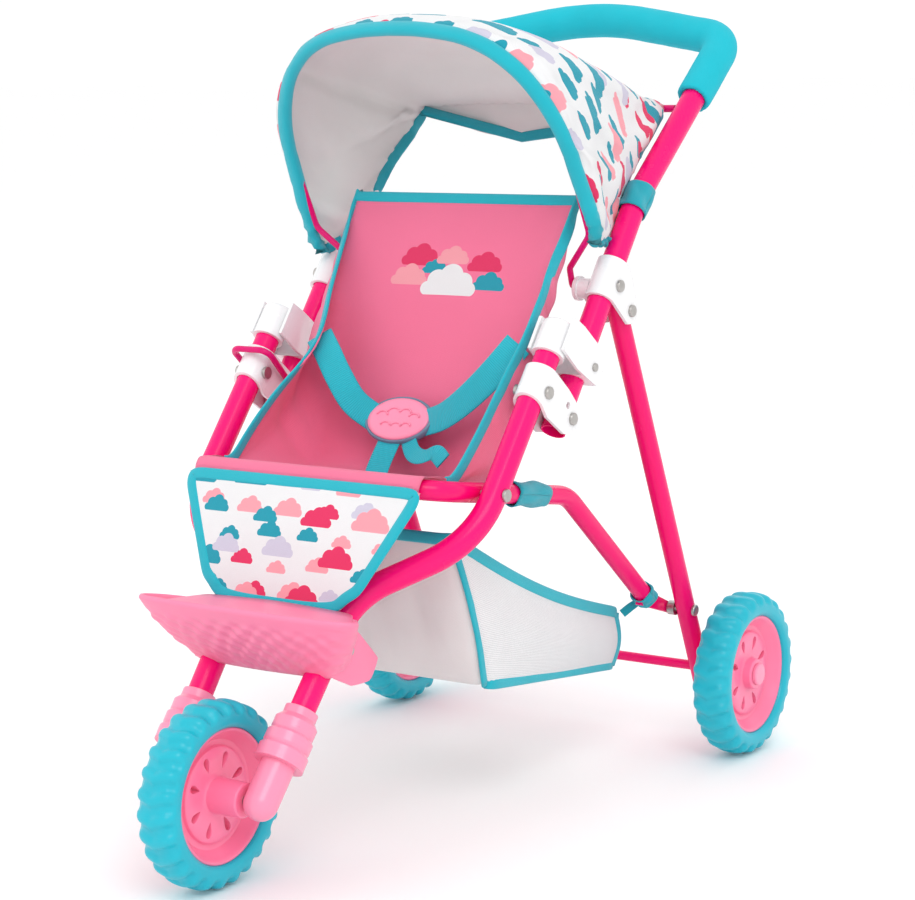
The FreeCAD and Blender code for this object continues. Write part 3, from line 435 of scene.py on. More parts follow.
def grid(name, points, material, uv=None):
    """A sheet from a (rows, columns, 3) array. uv gives each point's place on the flat cloth."""
    rows, columns = points.shape[:2]
    faces = quads(rows, columns)
    if uv is None:
        uv = np.zeros((rows, columns, 2))
        uv[..., 0] = lengths(points[:, columns // 2])[:, None]
        uv[..., 1] = lengths(points[rows // 2])[None]
    flat = uv.reshape(-1, 2)
    corner_uvs = [flat[index] for face in faces for index in face]
    return put(name, points.reshape(-1, 3), faces, material, corner_uvs)


def settle(obj):
    """Turns obj's modifiers into plain mesh."""
    graph = bpy.context.evaluated_depsgraph_get()
    mesh = bpy.data.meshes.new_from_object(obj.evaluated_get(graph), preserve_all_data_layers=True,
                                           depsgraph=graph)
    obj.modifiers.clear()
    obj.data = mesh
    return obj


def thicken(obj, amount, inner=None, offset=0.0):
    """Gives a sheet a thickness; inner is the material of the back and the rim."""
    solid = obj.modifiers.new("thick", "SOLIDIFY")
    solid.thickness = amount
    solid.offset = offset
    solid.use_even_offset = False
    if inner:
        obj.data.materials.append(M[inner])
        solid.material_offset = 1
    return settle(obj)


def curve_through(points, count):
    """Catmull-Rom line through the points, evenly spaced along its length."""
    points = np.asarray(points, float)
    padded = np.vstack([2 * points[0] - points[1], points, 2 * points[-1] - points[-2]])
    fine = []
    for a, b, c, d in zip(padded, padded[1:], padded[2:], padded[3:]):
        for t in np.linspace(0, 1, 24, endpoint=False):
            fine.append(0.5 * (2 * b + (c - a) * t + (2 * a - 5 * b + 4 * c - d) * t * t
                               + (3 * b - 3 * c + d - a) * t ** 3))
    fine.append(points[-1])
    return spaced(np.array(fine), count)


def spaced(points, count):
    run = lengths(points)
    targets = np.linspace(0, run[-1], count)
    return np.column_stack([np.interp(targets, run, points[:, k]) for k in range(points.shape[1])])


def unit(vectors):
    return vectors / np.maximum(np.linalg.norm(vectors, axis=-1, keepdims=True), 1e-9)


def sweep(name, line, sides, outline, material, closed=False):
    """Carries a closed outline of (p, q) along a line; p runs along sides, q square to it."""
    line = np.asarray(line, float)
    count = len(line)
    if closed:
        heading = unit(np.roll(line, -1, 0) - np.roll(line, 1, 0))
    else:
        heading = unit(np.gradient(line, axis=0))
    sides = np.broadcast_to(np.asarray(sides, float), line.shape)
    lifts = unit(np.cross(heading, sides))
    sides = unit(np.cross(lifts, heading))
    outline = np.asarray(outline, float)
    points = (line[:, None] + sides[:, None] * outline[None, :, :1] + lifts[:, None] * outline[None, :, 1:])
    around = len(outline)
    faces = quads(count, around, closed, True)
    run = lengths(np.vstack([line, line[:1]]) if closed else line)
    girth = lengths(np.vstack([outline, outline[:1]]))
    uvs = []
    for i in range(count if closed else count - 1):
        for j in range(around):
            uvs += [(run[i], girth[j]), (run[i], girth[j + 1]), (run[i + 1], girth[j + 1]),
                    (run[i + 1], girth[j])]
    if not closed:
        faces.append(tuple(range(around))[::-1])
        faces.append(tuple((count - 1) * around + j for j in range(around)))
        uvs += [(0, 0)] * (2 * around)
    return put(name, points.reshape(-1, 3), faces, material, uvs)


def oval(width, height, count=14, power=2.0):
    """Closed outline of an oval or, with a higher power, a rounded rectangle."""
    angles = np.linspace(0, 2 * math.pi, count, endpoint=False)
    c, s = np.cos(angles), np.sin(angles)
    return np.column_stack([np.sign(c) * np.abs(c) ** (2 / power) * width / 2,
                            np.sign(s) * np.abs(s) ** (2 / power) * height / 2])


def spin(name, outline, centre, material, count=96, closed=True):
    """Turns an outline of (x, radius) about an axle along X."""
    outline = np.asarray(outline, float)
    angles = np.linspace(0, 2 * math.pi, count, endpoint=False)
    points = np.array([[(x, r * math.cos(a), r * math.sin(a)) for x, r in outline] for a in angles])
    faces = quads(count, len(outline), True, closed)
    return put(name, points.reshape(-1, 3) + centre, faces, material)


def merge(name, pieces):
    """Joins pieces into the first, under a new name."""
    with bpy.context.temp_override(active_object=pieces[0], selected_editable_objects=pieces,
                                   selected_objects=pieces, object=pieces[0]):
        bpy.ops.object.join()
    pieces[0].name = name
    pieces[0].data.name = name
    return pieces[0]


def ripple(point, scale, seed):
    """Smooth noise from -1 to 1 at a point in metres."""
    return noise.noise(Vector(point) * scale + Vector((seed, 0.3 * seed, -seed)))


def piece(obj, body, slot, *replaced):
    """Rides on the body and hides the CAD nodes it stands for; slot is not used."""
    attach(obj, body)
    if replaced:
        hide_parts(*replaced)
    return obj


def ease(value):
    value = np.clip(value, 0, 1)
    return value * value * (3 - 2 * value)


def relax(obj, held, grow, cap, frames=18):
    """Lets slack cloth buckle between its held points, moving none further than cap."""
    rest = np.array([v.co for v in obj.data.vertices])
    group = obj.vertex_groups.new(name="held")
    for index, weight in enumerate(held):
        if weight > 0:
            group.add([index], float(weight), "REPLACE")
    cloth_sim = obj.modifiers.new("cloth", "CLOTH")
    settings = cloth_sim.settings
    settings.vertex_group_mass = "held"
    settings.shrink_min = -grow
    settings.quality = 6
    settings.mass = 0.2
    settings.tension_stiffness = 20
    settings.bending_stiffness = 0.4
    settings.effector_weights.gravity = 0.15
    cloth_sim.point_cache.frame_start = 1
    cloth_sim.point_cache.frame_end = frames
    for step in range(1, frames + 1):
        bpy.context.scene.frame_set(step)
    settle(obj)
    bpy.context.scene.frame_set(1)
    moved = np.array([v.co for v in obj.data.vertices]) - rest
    far = np.linalg.norm(moved, axis=1, keepdims=True)
    moved *= np.minimum(1, cap / np.maximum(far, 1e-9))
    obj.data.vertices.foreach_set("co", (rest + moved).astype(np.float32).ravel())
    obj.data.update()
    return obj


def points_of(obj, shape):
    return np.array([v.co for v in obj.data.vertices]).reshape(*shape, 3)


CLOTH = 0.0012
# Flat areas of the cuts that aren't rectangles, in square metres, as sums of strips and tapers. They were
# chosen with the meshes' areas known, so a mesh that agrees with its cut isn't evidence that the cut is right.
# Cross-sections of the folded cloth tapes, width and thickness.
BINDING = oval(0.0088, 0.0030, 14, 3.0)
SEAM_BAND = oval(0.0085, 0.0030, 14, 3.0)
FOOT_BAND = oval(0.0085, 0.0034, 14, 3.0)
RIM_BAND = oval(0.0092, 0.0034, 14, 3.0)
UPRIGHT = (0, 0, 1.0)

# ---------------------------------------------------------------- wheels

LUGS = 26


def tyre_mesh():
    """Moulded tyre: rounded lugs across the tread that scallop the shoulders."""
    profile = curve_through(mm((-13.2, 48.7), (-15.6, 51.5), (-16.0, 56.0), (-15.2, 60.6), (-12.4, 64.6),
                               (-7, 66.6), (0, 67.2), (7, 66.6), (12.4, 64.6), (15.2, 60.6),
                               (16.0, 56.0), (15.6, 51.5), (13.2, 48.7)).reshape(-1, 2), 45)
    count = LUGS * 12
    points = np.zeros((count, len(profile), 3))
    for i in range(count):
        angle = 2 * math.pi * i / count
        phase = LUGS * angle
        for j, (x, r) in enumerate(profile):
            tread = float(ease((r - 0.0565) / 0.007))
            wave = math.sin(phase + 1.6 * math.sin(abs(x) / 0.016 * 1.5))
            lug = math.copysign(abs(wave) ** 0.55, wave)
            radius = r - 0.0013 * tread * (1 - lug)
            push = 1 + 0.060 * tread * lug * min(abs(x) / 0.012, 1) - 0.05 * tread
            if 0.0525 < r < 0.0555:
                radius -= 0.0003
            points[i, j] = (x * push, radius * math.cos(angle), radius * math.sin(angle))
    faces = quads(count, len(profile), True, True)
    return points.reshape(-1, 3), faces


TYRE_POINTS, TYRE_FACES = tyre_mesh()


def teardrop(radius, half, length, turn):
    """Outline of a window in the disc, round end outward, in (y, z)."""
    outline = []
    for k in range(16):
        angle = 2 * math.pi * k / 16
        along = math.cos(angle)
        across = math.sin(angle) * (0.62 + 0.38 * along)
        outline.append((radius + along * length / 2, across * half))
    return [(r * math.cos(turn) - a * math.sin(turn), r * math.sin(turn) + a * math.cos(turn))
            for r, a in outline]


def rim_mesh(hub_in, hub_out):
    """Dished rim with a stepped disc, raised ribs between eight windows, and a hub."""
    outline = mm((hub_in, 4.3), (hub_out, 4.3), (hub_out, 11.4), (hub_out - 1, 12.5), (5.8, 12.9), (4.8, 14.2),
                 (4.4, 17), (5.2, 25), (5.4, 32.6), (4.4, 34.2), (2.2, 34.9), (1.8, 36.6), (2.6, 39.2),
                 (6.5, 42.2), (9.6, 44.6), (11.4, 45.6), (12.2, 46.6), (12.2, 48.0), (11.6, 48.6),
                 (-11.6, 48.6), (-12.2, 48.0), (-12.2, 46.6), (-11.4, 45.6), (-9.6, 44.6), (-6.5, 42.2),
                 (-2.6, 39.2), (-1.8, 36.6), (-2.2, 34.9), (-4.4, 34.2), (-5.4, 32.6), (-5.2, 25),
                 (-4.4, 17), (-4.8, 14.2), (-5.8, 12.9), (hub_in + 1, 12.5), (hub_in, 11.4)).reshape(-1, 2)
    body = spin("rim_body", outline, np.zeros(3), "rim", 128)
    cutters = []
    for k in range(8):
        ring = teardrop(0.0252, 0.0040, 0.0115, 2 * math.pi * (k + 0.5) / 8)
        count = len(ring)
        points = [(-0.03, y, z) for y, z in ring] + [(0.03, y, z) for y, z in ring]
        faces = [(i, (i + 1) % count, count + (i + 1) % count, count + i) for i in range(count)]
        faces += [tuple(range(count))[::-1], tuple(range(count, 2 * count))]
        cutters.append(put(f"window_{k}", points, faces, "rim"))
    cutter = merge("windows", cutters)
    hole = body.modifiers.new("windows", "BOOLEAN")
    hole.operation = "DIFFERENCE"
    hole.object = cutter
    hole.solver = "EXACT"
    settle(body)
    bpy.data.objects.remove(cutter)
    soften = body.modifiers.new("soften", "BEVEL")
    soften.width = 0.0005
    soften.segments = 2
    soften.limit_method = "ANGLE"
    soften.angle_limit = math.radians(40)
    settle(body)
    body.data.polygons.foreach_set("use_smooth", [True] * len(body.data.polygons))
    body.data.set_sharp_from_angle(angle=math.radians(35))
    return body


def build_wheels():
    front_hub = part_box("front_rim")[1].x / MM
    front_rim = rim_mesh(-front_hub, front_hub)
    rear_low, rear_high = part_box("rear_rim_left")
    middle = (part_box("rear_tyre_left")[0].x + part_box("rear_tyre_left")[1].x) / 2
    rear_rim = rim_mesh((rear_low.x - middle) / MM, (rear_high.x - middle) / MM)
    places = [("front", FRONT_AXLE, "front_wheel", "front_tyre", "front_rim", front_rim, 1),
              ("rear_left", pivot("rear_wheel_left_spin") + np.array([middle, 0, 0]), "rear_wheel_left",
               "rear_tyre_left", "rear_rim_left", rear_rim, 1),
              ("rear_right", pivot("rear_wheel_right_spin") - np.array([middle, 0, 0]), "rear_wheel_right",
               "rear_tyre_right", "rear_rim_right", rear_rim, -1)]
    for tag, centre, body, tyre_node, rim_node, source, side in places:
        tyre = put(tag + "_tyre_mesh", TYRE_POINTS + centre, TYRE_FACES, "tyre")
        piece(tyre, body, "tyre_foam", tyre_node)
        data = source.data.copy()
        co = np.array([v.co for v in data.vertices]) * np.array([side, side, 1.0]) + centre
        data.vertices.foreach_set("co", co.astype(np.float32).ravel())
        data.update()
        rim = bpy.data.objects.new(tag + "_rim_mesh", data)
        bpy.context.scene.collection.objects.link(rim)
        piece(rim, body, "rim_plastic", rim_node)
    for source in (front_rim, rear_rim):
        bpy.data.objects.remove(source)


build_wheels()

# ---------------------------------------------------------------- foam grip


def build_grip():
    """Foam sleeve from the CAD sleeve: remeshed so that its ends round over, a little uneven."""
    grip = bpy.data.objects.new("foam_grip", NODES["handle_grip"].data.copy())
    bpy.context.scene.collection.objects.link(grip)
    remesh = grip.modifiers.new("remesh", "REMESH")
    remesh.mode = "VOXEL"
    remesh.voxel_size = 0.0022
    settle(grip)
    soft = grip.modifiers.new("soft", "SMOOTH")
    soft.factor = 0.5
    soft.iterations = 6
    settle(grip)
    for vertex in grip.data.vertices:
        vertex.co += vertex.normal * (0.0003 + 0.0003 * ripple(vertex.co, 45, 2))
    grip.data.materials.clear()
    grip.data.materials.append(M["grip"])
    grip.data.polygons.foreach_set("use_smooth", [True] * len(grip.data.polygons))
    piece(grip, "handle", "grip_foam", "handle_grip")


build_grip()

# ---------------------------------------------------------------- footrest


def build_footrest():
    """Moulded wedge: plain rounded rim, wavy front, shallow tray on top, cheeks with screws."""
    half_rim = [(62, -165, 181.5), (75, -175, 184), (88, -188, 187), (95, -199, 189), (94, -208, 190.5),
                (86, -214, 191.5), (70, -218.5, 192.3), (40, -222.5, 193), (0, -224, 193.5)]
    half_low = [(60, -158, 145), (60, -170, 144.5), (60, -181, 144), (56, -185.5, 144), (40, -187.5, 144),
                (20, -189, 144), (0, -189.5, 144)]
    rim_line = curve_through(mm(*half_rim, *[(-x, y, z) for x, y, z in half_rim[-2::-1]]).reshape(-1, 3), 161)
    low_line = curve_through(mm(*half_low, *[(-x, y, z) for x, y, z in half_low[-2::-1]]).reshape(-1, 3), 161)
    middle = mm(0, -178, 178)
    rows = []
    for index, (top, low) in enumerate(zip(rim_line, low_line)):
        share = index / 160
        front = float(ease((0.5 - abs(share - 0.5)) / 0.12))
        inward = unit(np.array([middle[0] - top[0], middle[1] - top[1], 0]))
        inward[0] *= 0.6
        ring = []
        for v in np.linspace(0, 1, 30):
            point = low + (top - low) * v
            bulge = math.sin(math.pi * v) * (0.0022 + 0.0060 * float(ease(abs(2 * share - 1) / 0.5)
                                                                     * ease((1 - abs(2 * share - 1)) / 0.25)))
            quilt = (math.sin(v * 2 * math.pi * 4.2 + 0.6 * math.sin(top[0] * 160))
                     * math.sin(top[0] * 330 + v * 5))
            wave = 0.0019 * quilt * float(ease(v / 0.12) * ease((0.84 - v) / 0.1)) * front
            ring.append(point - inward * (bulge + wave))
        roll = [(0.0008, 0.0016), (0.0022, 0.0026), (0.0042, 0.0026), (0.0058, 0.0012), (0.0064, -0.0014),
                (0.0070, -0.0030)]
        for back, rise in roll:
            ring.append(top + inward * back + np.array([0, 0, rise]))
        edge = ring[-1]
        for reach in (0.25, 0.5, 0.75, 1.0):
            spot = edge + (np.array([edge[0] * 0.75, mm(-168)[0], edge[2]]) - edge) * reach
            ring.append(spot)
        rows.append(ring)
    points = np.array(rows)
    shell = thicken(grid("footrest_shell", points, "foot"), 0.0022, offset=-1.0)
    cheeks = []
    outline = [(-172, 180), (-163, 181), (-131, 150), (-129.5, 145), (-137, 134.5), (-142, 132.5),
               (-160, 133.5),
               (-166, 136), (-184, 145), (-186, 150)]
    ring = curve_through(np.array(outline + outline[:1], float) * MM, 49)[:-1]
    for tag, sign in SIDES:
        outer = [(sign * 0.0622, y, z) for y, z in ring]
        inner = [(sign * 0.0590, y, z) for y, z in ring]
        count = len(ring)
        faces = [(i, (i + 1) % count, count + (i + 1) % count, count + i) for i in range(count)]
        faces += [tuple(range(count))[::-1], tuple(range(count, 2 * count))]
        if sign < 0:
            faces = [face[::-1] for face in faces]
        cheek = put("footrest_cheek_" + tag, outer + inner, faces, "foot", smooth=False)
        round_off = cheek.modifiers.new("round", "BEVEL")
        round_off.width = 0.0011
        round_off.segments = 3
        round_off.limit_method = "ANGLE"
        round_off.angle_limit = math.radians(50)
        settle(cheek)
        cheek.data.polygons.foreach_set("use_smooth", [True] * len(cheek.data.polygons))
        cheek.data.set_sharp_from_angle(angle=math.radians(40))
        cheeks.append(cheek)
    for obj in cheeks:
        piece(obj, "front_frame", "footrest_plastic")
    piece(shell, "front_frame", "footrest_plastic", "footrest")


build_footrest()

# ---------------------------------------------------------------- seat sling

# Each row: the middle of the sling, its side edge (both Y, Z), its half width and how far the right-hand edge
# flops inward.
SLING = np.array([
    (-130.5, 266, -130.5, 266, 101, 0), (-130.0, 274, -130.0, 274, 101, 0), (-126, 280.2, -126, 280.2, 101, 0),
    (-120, 281, -120, 281.2, 101, 0), (-106, 276.5, -104, 279.4, 101, 0), (-86, 267, -86, 277, 101, 0),
    (-50, 259.5, -62, 299, 104, 5), (-22, 257, -38, 326, 106, 17), (-2, 262, -16, 348, 106, 29),
    (10, 284, 4, 365, 106, 27), (23, 314, 20, 382, 105, 19), (39, 345, 36, 399, 104, 12),
    (56, 385, 52, 418, 102, 6), (72, 425, 68, 437, 102, 2), (84, 453, 80, 455, 103, 0),
    (89.6, 467, 89, 467, 103.5, 0)])
SLING_ACROSS, SLING_ALONG = 61, 141


def sling_points():
    line = curve_through(SLING, SLING_ALONG) * MM
    points = np.zeros((SLING_ACROSS, SLING_ALONG, 3))
    for i, u in enumerate(np.linspace(-1, 1, SLING_ACROSS)):
        side = abs(u)
        rise = float(np.clip((side - 0.62) / 0.38, 0, 1)) ** 1.4
        wall = max(side - 0.82, 0) / 0.18
        for j, (my, mz, ey, ez, half, flop) in enumerate(line):
            v = j / (SLING_ALONG - 1)
            puff = 0.0035 * float(ease((v - 0.32) / 0.1) * ease((0.97 - v) / 0.1))
            reach = (half + puff) * min(side / 0.82, 1) - puff * wall ** 2
            if u < 0:
                reach -= flop * wall ** 1.6
            spread = reach * math.copysign(1, u)
            point = np.array([spread, my + (ey - my) * rise, mz + (ez - mz) * rise])
            loose = rise * (1 - rise) * 4 * float(ease((v - 0.3) / 0.15) * ease((0.95 - v) / 0.2))
            fold = math.sin(v * 62 + u * 2.2) * 0.0016 + ripple(point, 26, 3) * 0.004
            back = 0.0022 * ripple(point, 17, 9) * float(ease((1 - side) / 0.3) * ease((v - 0.5) / 0.2)
                                                         * ease((0.97 - v) / 0.1))
            give = fold * loose
            points[i, j] = point + np.array([-math.copysign(1, u) * give, back, back * 0.4 + 0.3 * give])
    return points


def build_seat():
    points = sling_points()
    uv = np.zeros((SLING_ACROSS, SLING_ALONG, 2))
    uv[..., 0] = np.linspace(-1, 1, SLING_ACROSS)[:, None] * 0.118
    uv[..., 1] = lengths(points[SLING_ACROSS // 2])[None]
    seat = grid("seat_sling", points, "seat", uv)
    held = np.zeros((SLING_ACROSS, SLING_ALONG))
    held[[0, -1], :] = 1
    held[:, :22] = 1
    held[:, -1] = 1
    held[SLING_ACROSS // 2 - 3: SLING_ACROSS // 2 + 4, 22:70] = 0.5
    relax(seat, held.ravel(), 0.022, 0.007)
    points = points_of(seat, (SLING_ACROSS, SLING_ALONG))
    middle = seat.data.polygons[len(seat.data.polygons) // 2 + SLING_ALONG // 4].normal
    if middle.y < 0:
        seat.data.flip_normals()
    thicken(seat, CLOTH, "seat_plain")
    start = int(SLING_ALONG * 0.135)
    left, right = points[-1, start:], points[0, start:]
    top = points[:, -1]
    edge = np.vstack([right, top[3:-3], left[::-1]])
    inward = np.vstack([unit(points[3, start:] - points[0, start:]), unit(points[3:-3, -4] - points[3:-3, -1]),
                        unit(points[-4, start:] - points[-1, start:])[::-1]])
    line = spaced(np.hstack([edge, inward]), 260)
    for _ in range(5):
        line[1:-1] = (line[:-2] + 2 * line[1:-1] + line[2:]) / 4
    out = unit(line[:, 3:])
    binding = sweep("seat_binding", line[:, :3] + out * 0.0030, out, BINDING, "band")
    for obj in (seat, binding):
        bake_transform(obj)
    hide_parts("seat_base", "seat_back")
    return points


build_seat()

# ---------------------------------------------------------------- calf panel

CALF_ROWS, CALF_COLUMNS = 41, 31


def build_calf():
    """Printed panel hanging in front of the seat, wider at the top, with rounded lower corners."""
    points = np.zeros((CALF_ROWS, CALF_COLUMNS, 3))
    top, foot = mm(109.0, -132.6, 274.0), mm(62.0, -168.5, 186.0)
    for i, u in enumerate(np.linspace(-1, 1, CALF_ROWS)):
        for j, v in enumerate(np.linspace(0, 1, CALF_COLUMNS)):
            lower = float(ease((v - 0.72) / 0.28))
            round_up = 0.07 * abs(u) ** 5 * lower
            depth = v - round_up
            half = top[0] + (foot[0] - top[0]) * depth
            point = top + (foot - top) * depth
            point[0] = u * half
            belly = math.sin(math.pi * v) * (1 - u * u)
            out = 0.0022 * belly + 0.0012 * ripple(point, 30, 5) * belly
            corner = float(ease((abs(u) - 0.88) / 0.12)) * float(ease((0.12 - min(v, 1 - v)) / 0.12))
            centre = np.array([0, point[1], 0.23])
            points[i, j] = point + np.array([0, -out, 0.3 * out]) + unit(centre - point) * 0.0055 * corner
    uv = np.zeros((CALF_ROWS, CALF_COLUMNS, 2))
    uv[..., 0] = points[..., 0] + 0.2
    uv[..., 1] = 0.3 - lengths(points[CALF_ROWS // 2])[None]
    panel = grid("calf_cloth", points, "print", uv)
    thicken(panel, CLOTH)
    loop = np.vstack([points[:, 0], points[-1, 1:], points[-2::-1, -1], points[0, -2:0:-1]])
    centre = points[CALF_ROWS // 2, CALF_COLUMNS // 2]
    closed = spaced(np.vstack([loop, loop[:1]]), 261)[:-1]
    for _ in range(9):
        closed = (np.roll(closed, 1, 0) + 2 * closed + np.roll(closed, -1, 0)) / 4
    heading = unit(np.roll(closed, -1, 0) - np.roll(closed, 1, 0))
    normal = unit(np.cross(points[-1, 0] - points[0, 0], points[0, -1] - points[0, 0]))
    inward = unit(np.cross(heading, normal))
    inward *= np.sign(((centre - closed) * inward).sum(axis=1))[:, None]
    binding = sweep("calf_binding", closed + inward * 0.0032, inward, BINDING, "band", closed=True)
    piece(binding, "front_frame", "band_cloth")
    piece(panel, "front_frame", "print_cloth", "calf_panel")


build_calf()

# ---------------------------------------------------------------- canopy

LEAN = math.radians(26.5)
BOW_UP = np.array([0, -math.sin(LEAN), math.cos(LEAN)])
HALF_STEPS = 46


def bow_line():
    """Middle of the bow wire from tip to tip, read from its CAD node, in (x, reach)."""
    co = np.array([v.co for v in NODES["canopy_bow"].data.vertices]) - CLIP
    flat = np.column_stack([co[:, 0], co @ BOW_UP])
    flat = flat[flat[:, 1] > 0.050]
    angle = np.arctan2(flat[:, 0], flat[:, 1] - 0.05)
    order = np.argsort(angle)
    flat, angle = flat[order], angle[order]
    bins = np.linspace(angle[0], angle[-1], 31)
    middle = [flat[(angle >= a) & (angle <= b)].mean(axis=0) for a, b in zip(bins, bins[1:])
              if ((angle >= a) & (angle <= b)).any()]
    middle = np.array(middle)
    right = middle[middle[:, 0] > 0]
    right = right[np.argsort(-right[:, 1])]
    return np.vstack([[0, right[0, 1]], right[1:]])


def front_edge():
    """Hem line of the canopy: round the bow, then on down to a tip beside each clip."""
    half = bow_line()
    half = half * (1 + 0.0012 / np.maximum(np.linalg.norm(half, axis=1, keepdims=True), 0.05))
    half = half[half[:, 1] > 0.070]
    right = curve_through(np.vstack([half, mm(133, 50), mm(134, 36), mm(130, 25)]), HALF_STEPS)
    left = curve_through(np.vstack([half, mm(133, 60), mm(132, 49), mm(129, 42)]), HALF_STEPS)
    whole = np.vstack([right[:0:-1] * np.array([-1, 1]), left])
    return CLIP + whole[:, :1] * np.array([1.0, 0, 0]) + whole[:, 1:] * BOW_UP


def rear_edge(front):
    """Rear edge: from each tip up past the tie on the handle to the rod, then across over it."""
    rod = (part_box("canopy_rod")[0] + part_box("canopy_rod")[1]) / 2
    over = 0.0062
    half = [(0, rod.y + 0.002, rod.z + over), (0.06, rod.y + 0.002, rod.z + over),
            (0.098, rod.y + 0.001, rod.z + over - 0.0004),
            (0.111, rod.y - 0.002, rod.z + over - 0.003), (0.1155, rod.y - 0.010, rod.z - 0.004),
            (0.1160, 0.184, 0.510), (0.1165, 0.154, 0.487), (0.1175, 0.124, 0.453), (0.1220, 0.108, 0.434)]
    left = curve_through(np.array(half + [tuple(front[-1])]), HALF_STEPS)
    right = curve_through(np.array(half + [(-front[0][0], front[0][1], front[0][2])]), HALF_STEPS)
    return np.vstack([right[:0:-1] * np.array([-1, 1, 1]), left])


def build_canopy():
    front = front_edge()
    rear = rear_edge(front)
    count, deep = len(front), 33
    points = np.zeros((count, deep, 3))
    for i in range(count):
        t = abs(2 * i / (count - 1) - 1)
        for j in range(deep):
            w = j / (deep - 1)
            point = front[i] + (rear[i] - front[i]) * w
            hang = math.sin(math.pi * w)
            inward = np.array([0, 0.12, 0.47]) - point
            inward[1] = 0
            inward = unit(inward)
            crown = math.sin(math.pi * w ** 0.52) * (1 - t ** 3)
            dip = 0.004 * hang * float(ease((t - 0.35) / 0.3)) * float(ease((1 - t) / 0.2)) - 0.027 * crown
            crease = 0.0022 * math.sin(w * 15 + 2.2 * math.sin(t * 3)) * hang * float(ease((t - 0.45) / 0.3)
                                                                                      * ease((1 - t) / 0.12))
            wave = 0.0022 * ripple(point, 24, 7) * hang
            points[i, j] = point + inward * (dip + crease + wave)
    uv = np.zeros((count, deep, 2))
    uv[..., 0] = lengths(front)[:, None]
    span = np.linalg.norm(rear - front, axis=1)
    uv[..., 1] = span[:, None] * np.linspace(0, 1, deep)[None]
    canopy = grid("canopy_cloth", points, "print", uv)
    held = np.zeros((count, deep))
    held[:, [0, -1]] = 1
    held[[0, -1], :] = 1
    relax(canopy, held.ravel(), 0.016, 0.005)
    points = points_of(canopy, (count, deep))
    canopy.data.flip_normals()
    thicken(canopy, CLOTH, "lining")
    side = unit(points[:, 1] - points[:, 0])
    hem = sweep("canopy_hem", points[:, 0] + side * 0.0014, side, oval(0.0120, 0.0096, 16, 2.4), "band")
    low_count = int(count * 0.30)
    flap_points, flap_edge = build_flap(points)
    edge = np.vstack([points[:low_count, -1], flap_edge, points[-low_count:, -1]])
    side = np.vstack([unit(points[:low_count, -2] - points[:low_count, -1]),
                      np.tile([0, 0, 1.0], (len(flap_edge), 1)),
                      unit(points[-low_count:, -2] - points[-low_count:, -1])])
    line = spaced(np.hstack([edge, side]), 230)
    rear_hem = sweep("canopy_rear_hem", line[:, :3], unit(line[:, 3:]), BINDING, "dark_band")
    flap = thicken(grid("canopy_flap", flap_points, "lining"), CLOTH)
    for obj in (canopy, hem, rear_hem, flap):
        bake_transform(obj)
    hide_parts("canopy")


def build_flap(points):
    """The canopy's rear end: hangs behind the rod, deepest in the middle."""
    rear = points[:, -1]
    low_count = int(len(rear) * 0.30)
    top = rear[low_count:-low_count]
    rows = []
    for point in top:
        share = min(abs(point[0]) / 0.112, 1)
        drop = 0.034 * (1 - share ** 3.5)
        column = []
        for v in np.linspace(0, 1, 14):
            back = -0.0085 + 0.0022 * math.sin(point[0] * 70 + 0.6) * v + 0.003 * v * v
            start = 0.0050 * (1 - share ** 6)
            column.append(point + np.array([0, back + 0.001 * ripple(point, 40, 11) * v, start - drop * v]))
        rows.append(column)
    rows = np.array(rows)
    return rows, rows[:, -1]


build_canopy()


def build_ties():
    """Cloth bands that hold the canopy to the handle, a little creased, with a button inboard."""
    for tag, sign in SIDES:
        low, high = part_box("canopy_ties")
        button_low, button_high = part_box("tie_buttons")
        along = unit(np.array([0, 0.690, 0.723]))
        centre = np.array([sign * 0.130, (low.y + high.y) / 2, (low.z + high.z) / 2])
        across = np.array([1.0, 0, 0])
        lift = np.cross(along, across)
        rows = []
        for s in np.linspace(-0.0115, 0.0115, 15):
            ring = []
            for k in range(40):
                angle = 2 * math.pi * k / 40
                crease = 0.0007 * math.sin(3 * angle + s * 260) + 0.0004 * math.sin(7 * angle)
                radius = 0.0108 + crease * (1 - (s / 0.013) ** 2)
                ring.append(centre + along * s + (across * math.cos(angle) + lift * math.sin(angle)) * radius)
            rows.append(ring)
        rows = np.array(rows)
        band = grid("canopy_tie_" + tag, np.concatenate([rows, rows[:, :1]], axis=1), "dark_band")
        thicken(band, 0.0011, offset=0.6)
        piece(band, "handle", "band_cloth", "canopy_ties")
        knob_outline = mm((0, 0.01), (0, 1.9), (-0.5, 2.3), (-0.5, 4.4), (-1.4, 5.2), (-3.2, 5.2), (-3.8, 4.6),
                          (-3.8, 0.01)).reshape(-1, 2)
        base = np.array([0.0, (button_low.y + button_high.y) / 2, (button_low.z + button_high.z) / 2])
        knob_outline[:, 0] = -knob_outline[:, 0] + button_high.x - 0.0038
        knob_outline[:, 0] *= sign
        knob = spin("tie_button_" + tag, knob_outline, base, "white", 40, closed=False)
        piece(knob, "handle", "white_plastic", "tie_buttons")


build_ties()

# ---------------------------------------------------------------- basket

BASKET_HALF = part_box("basket")[1].x - 0.001
# (Y, Z) of the side's corners: front top, front bottom, rear bottom, rear top; the rim sags between tops
BASKET = {"front_top": mm(-71, 226), "front_low": mm(-31, 107),
          "rear_low": mm(168, 79.5), "rear_top": mm(177, 121)}
CORNER = 0.016


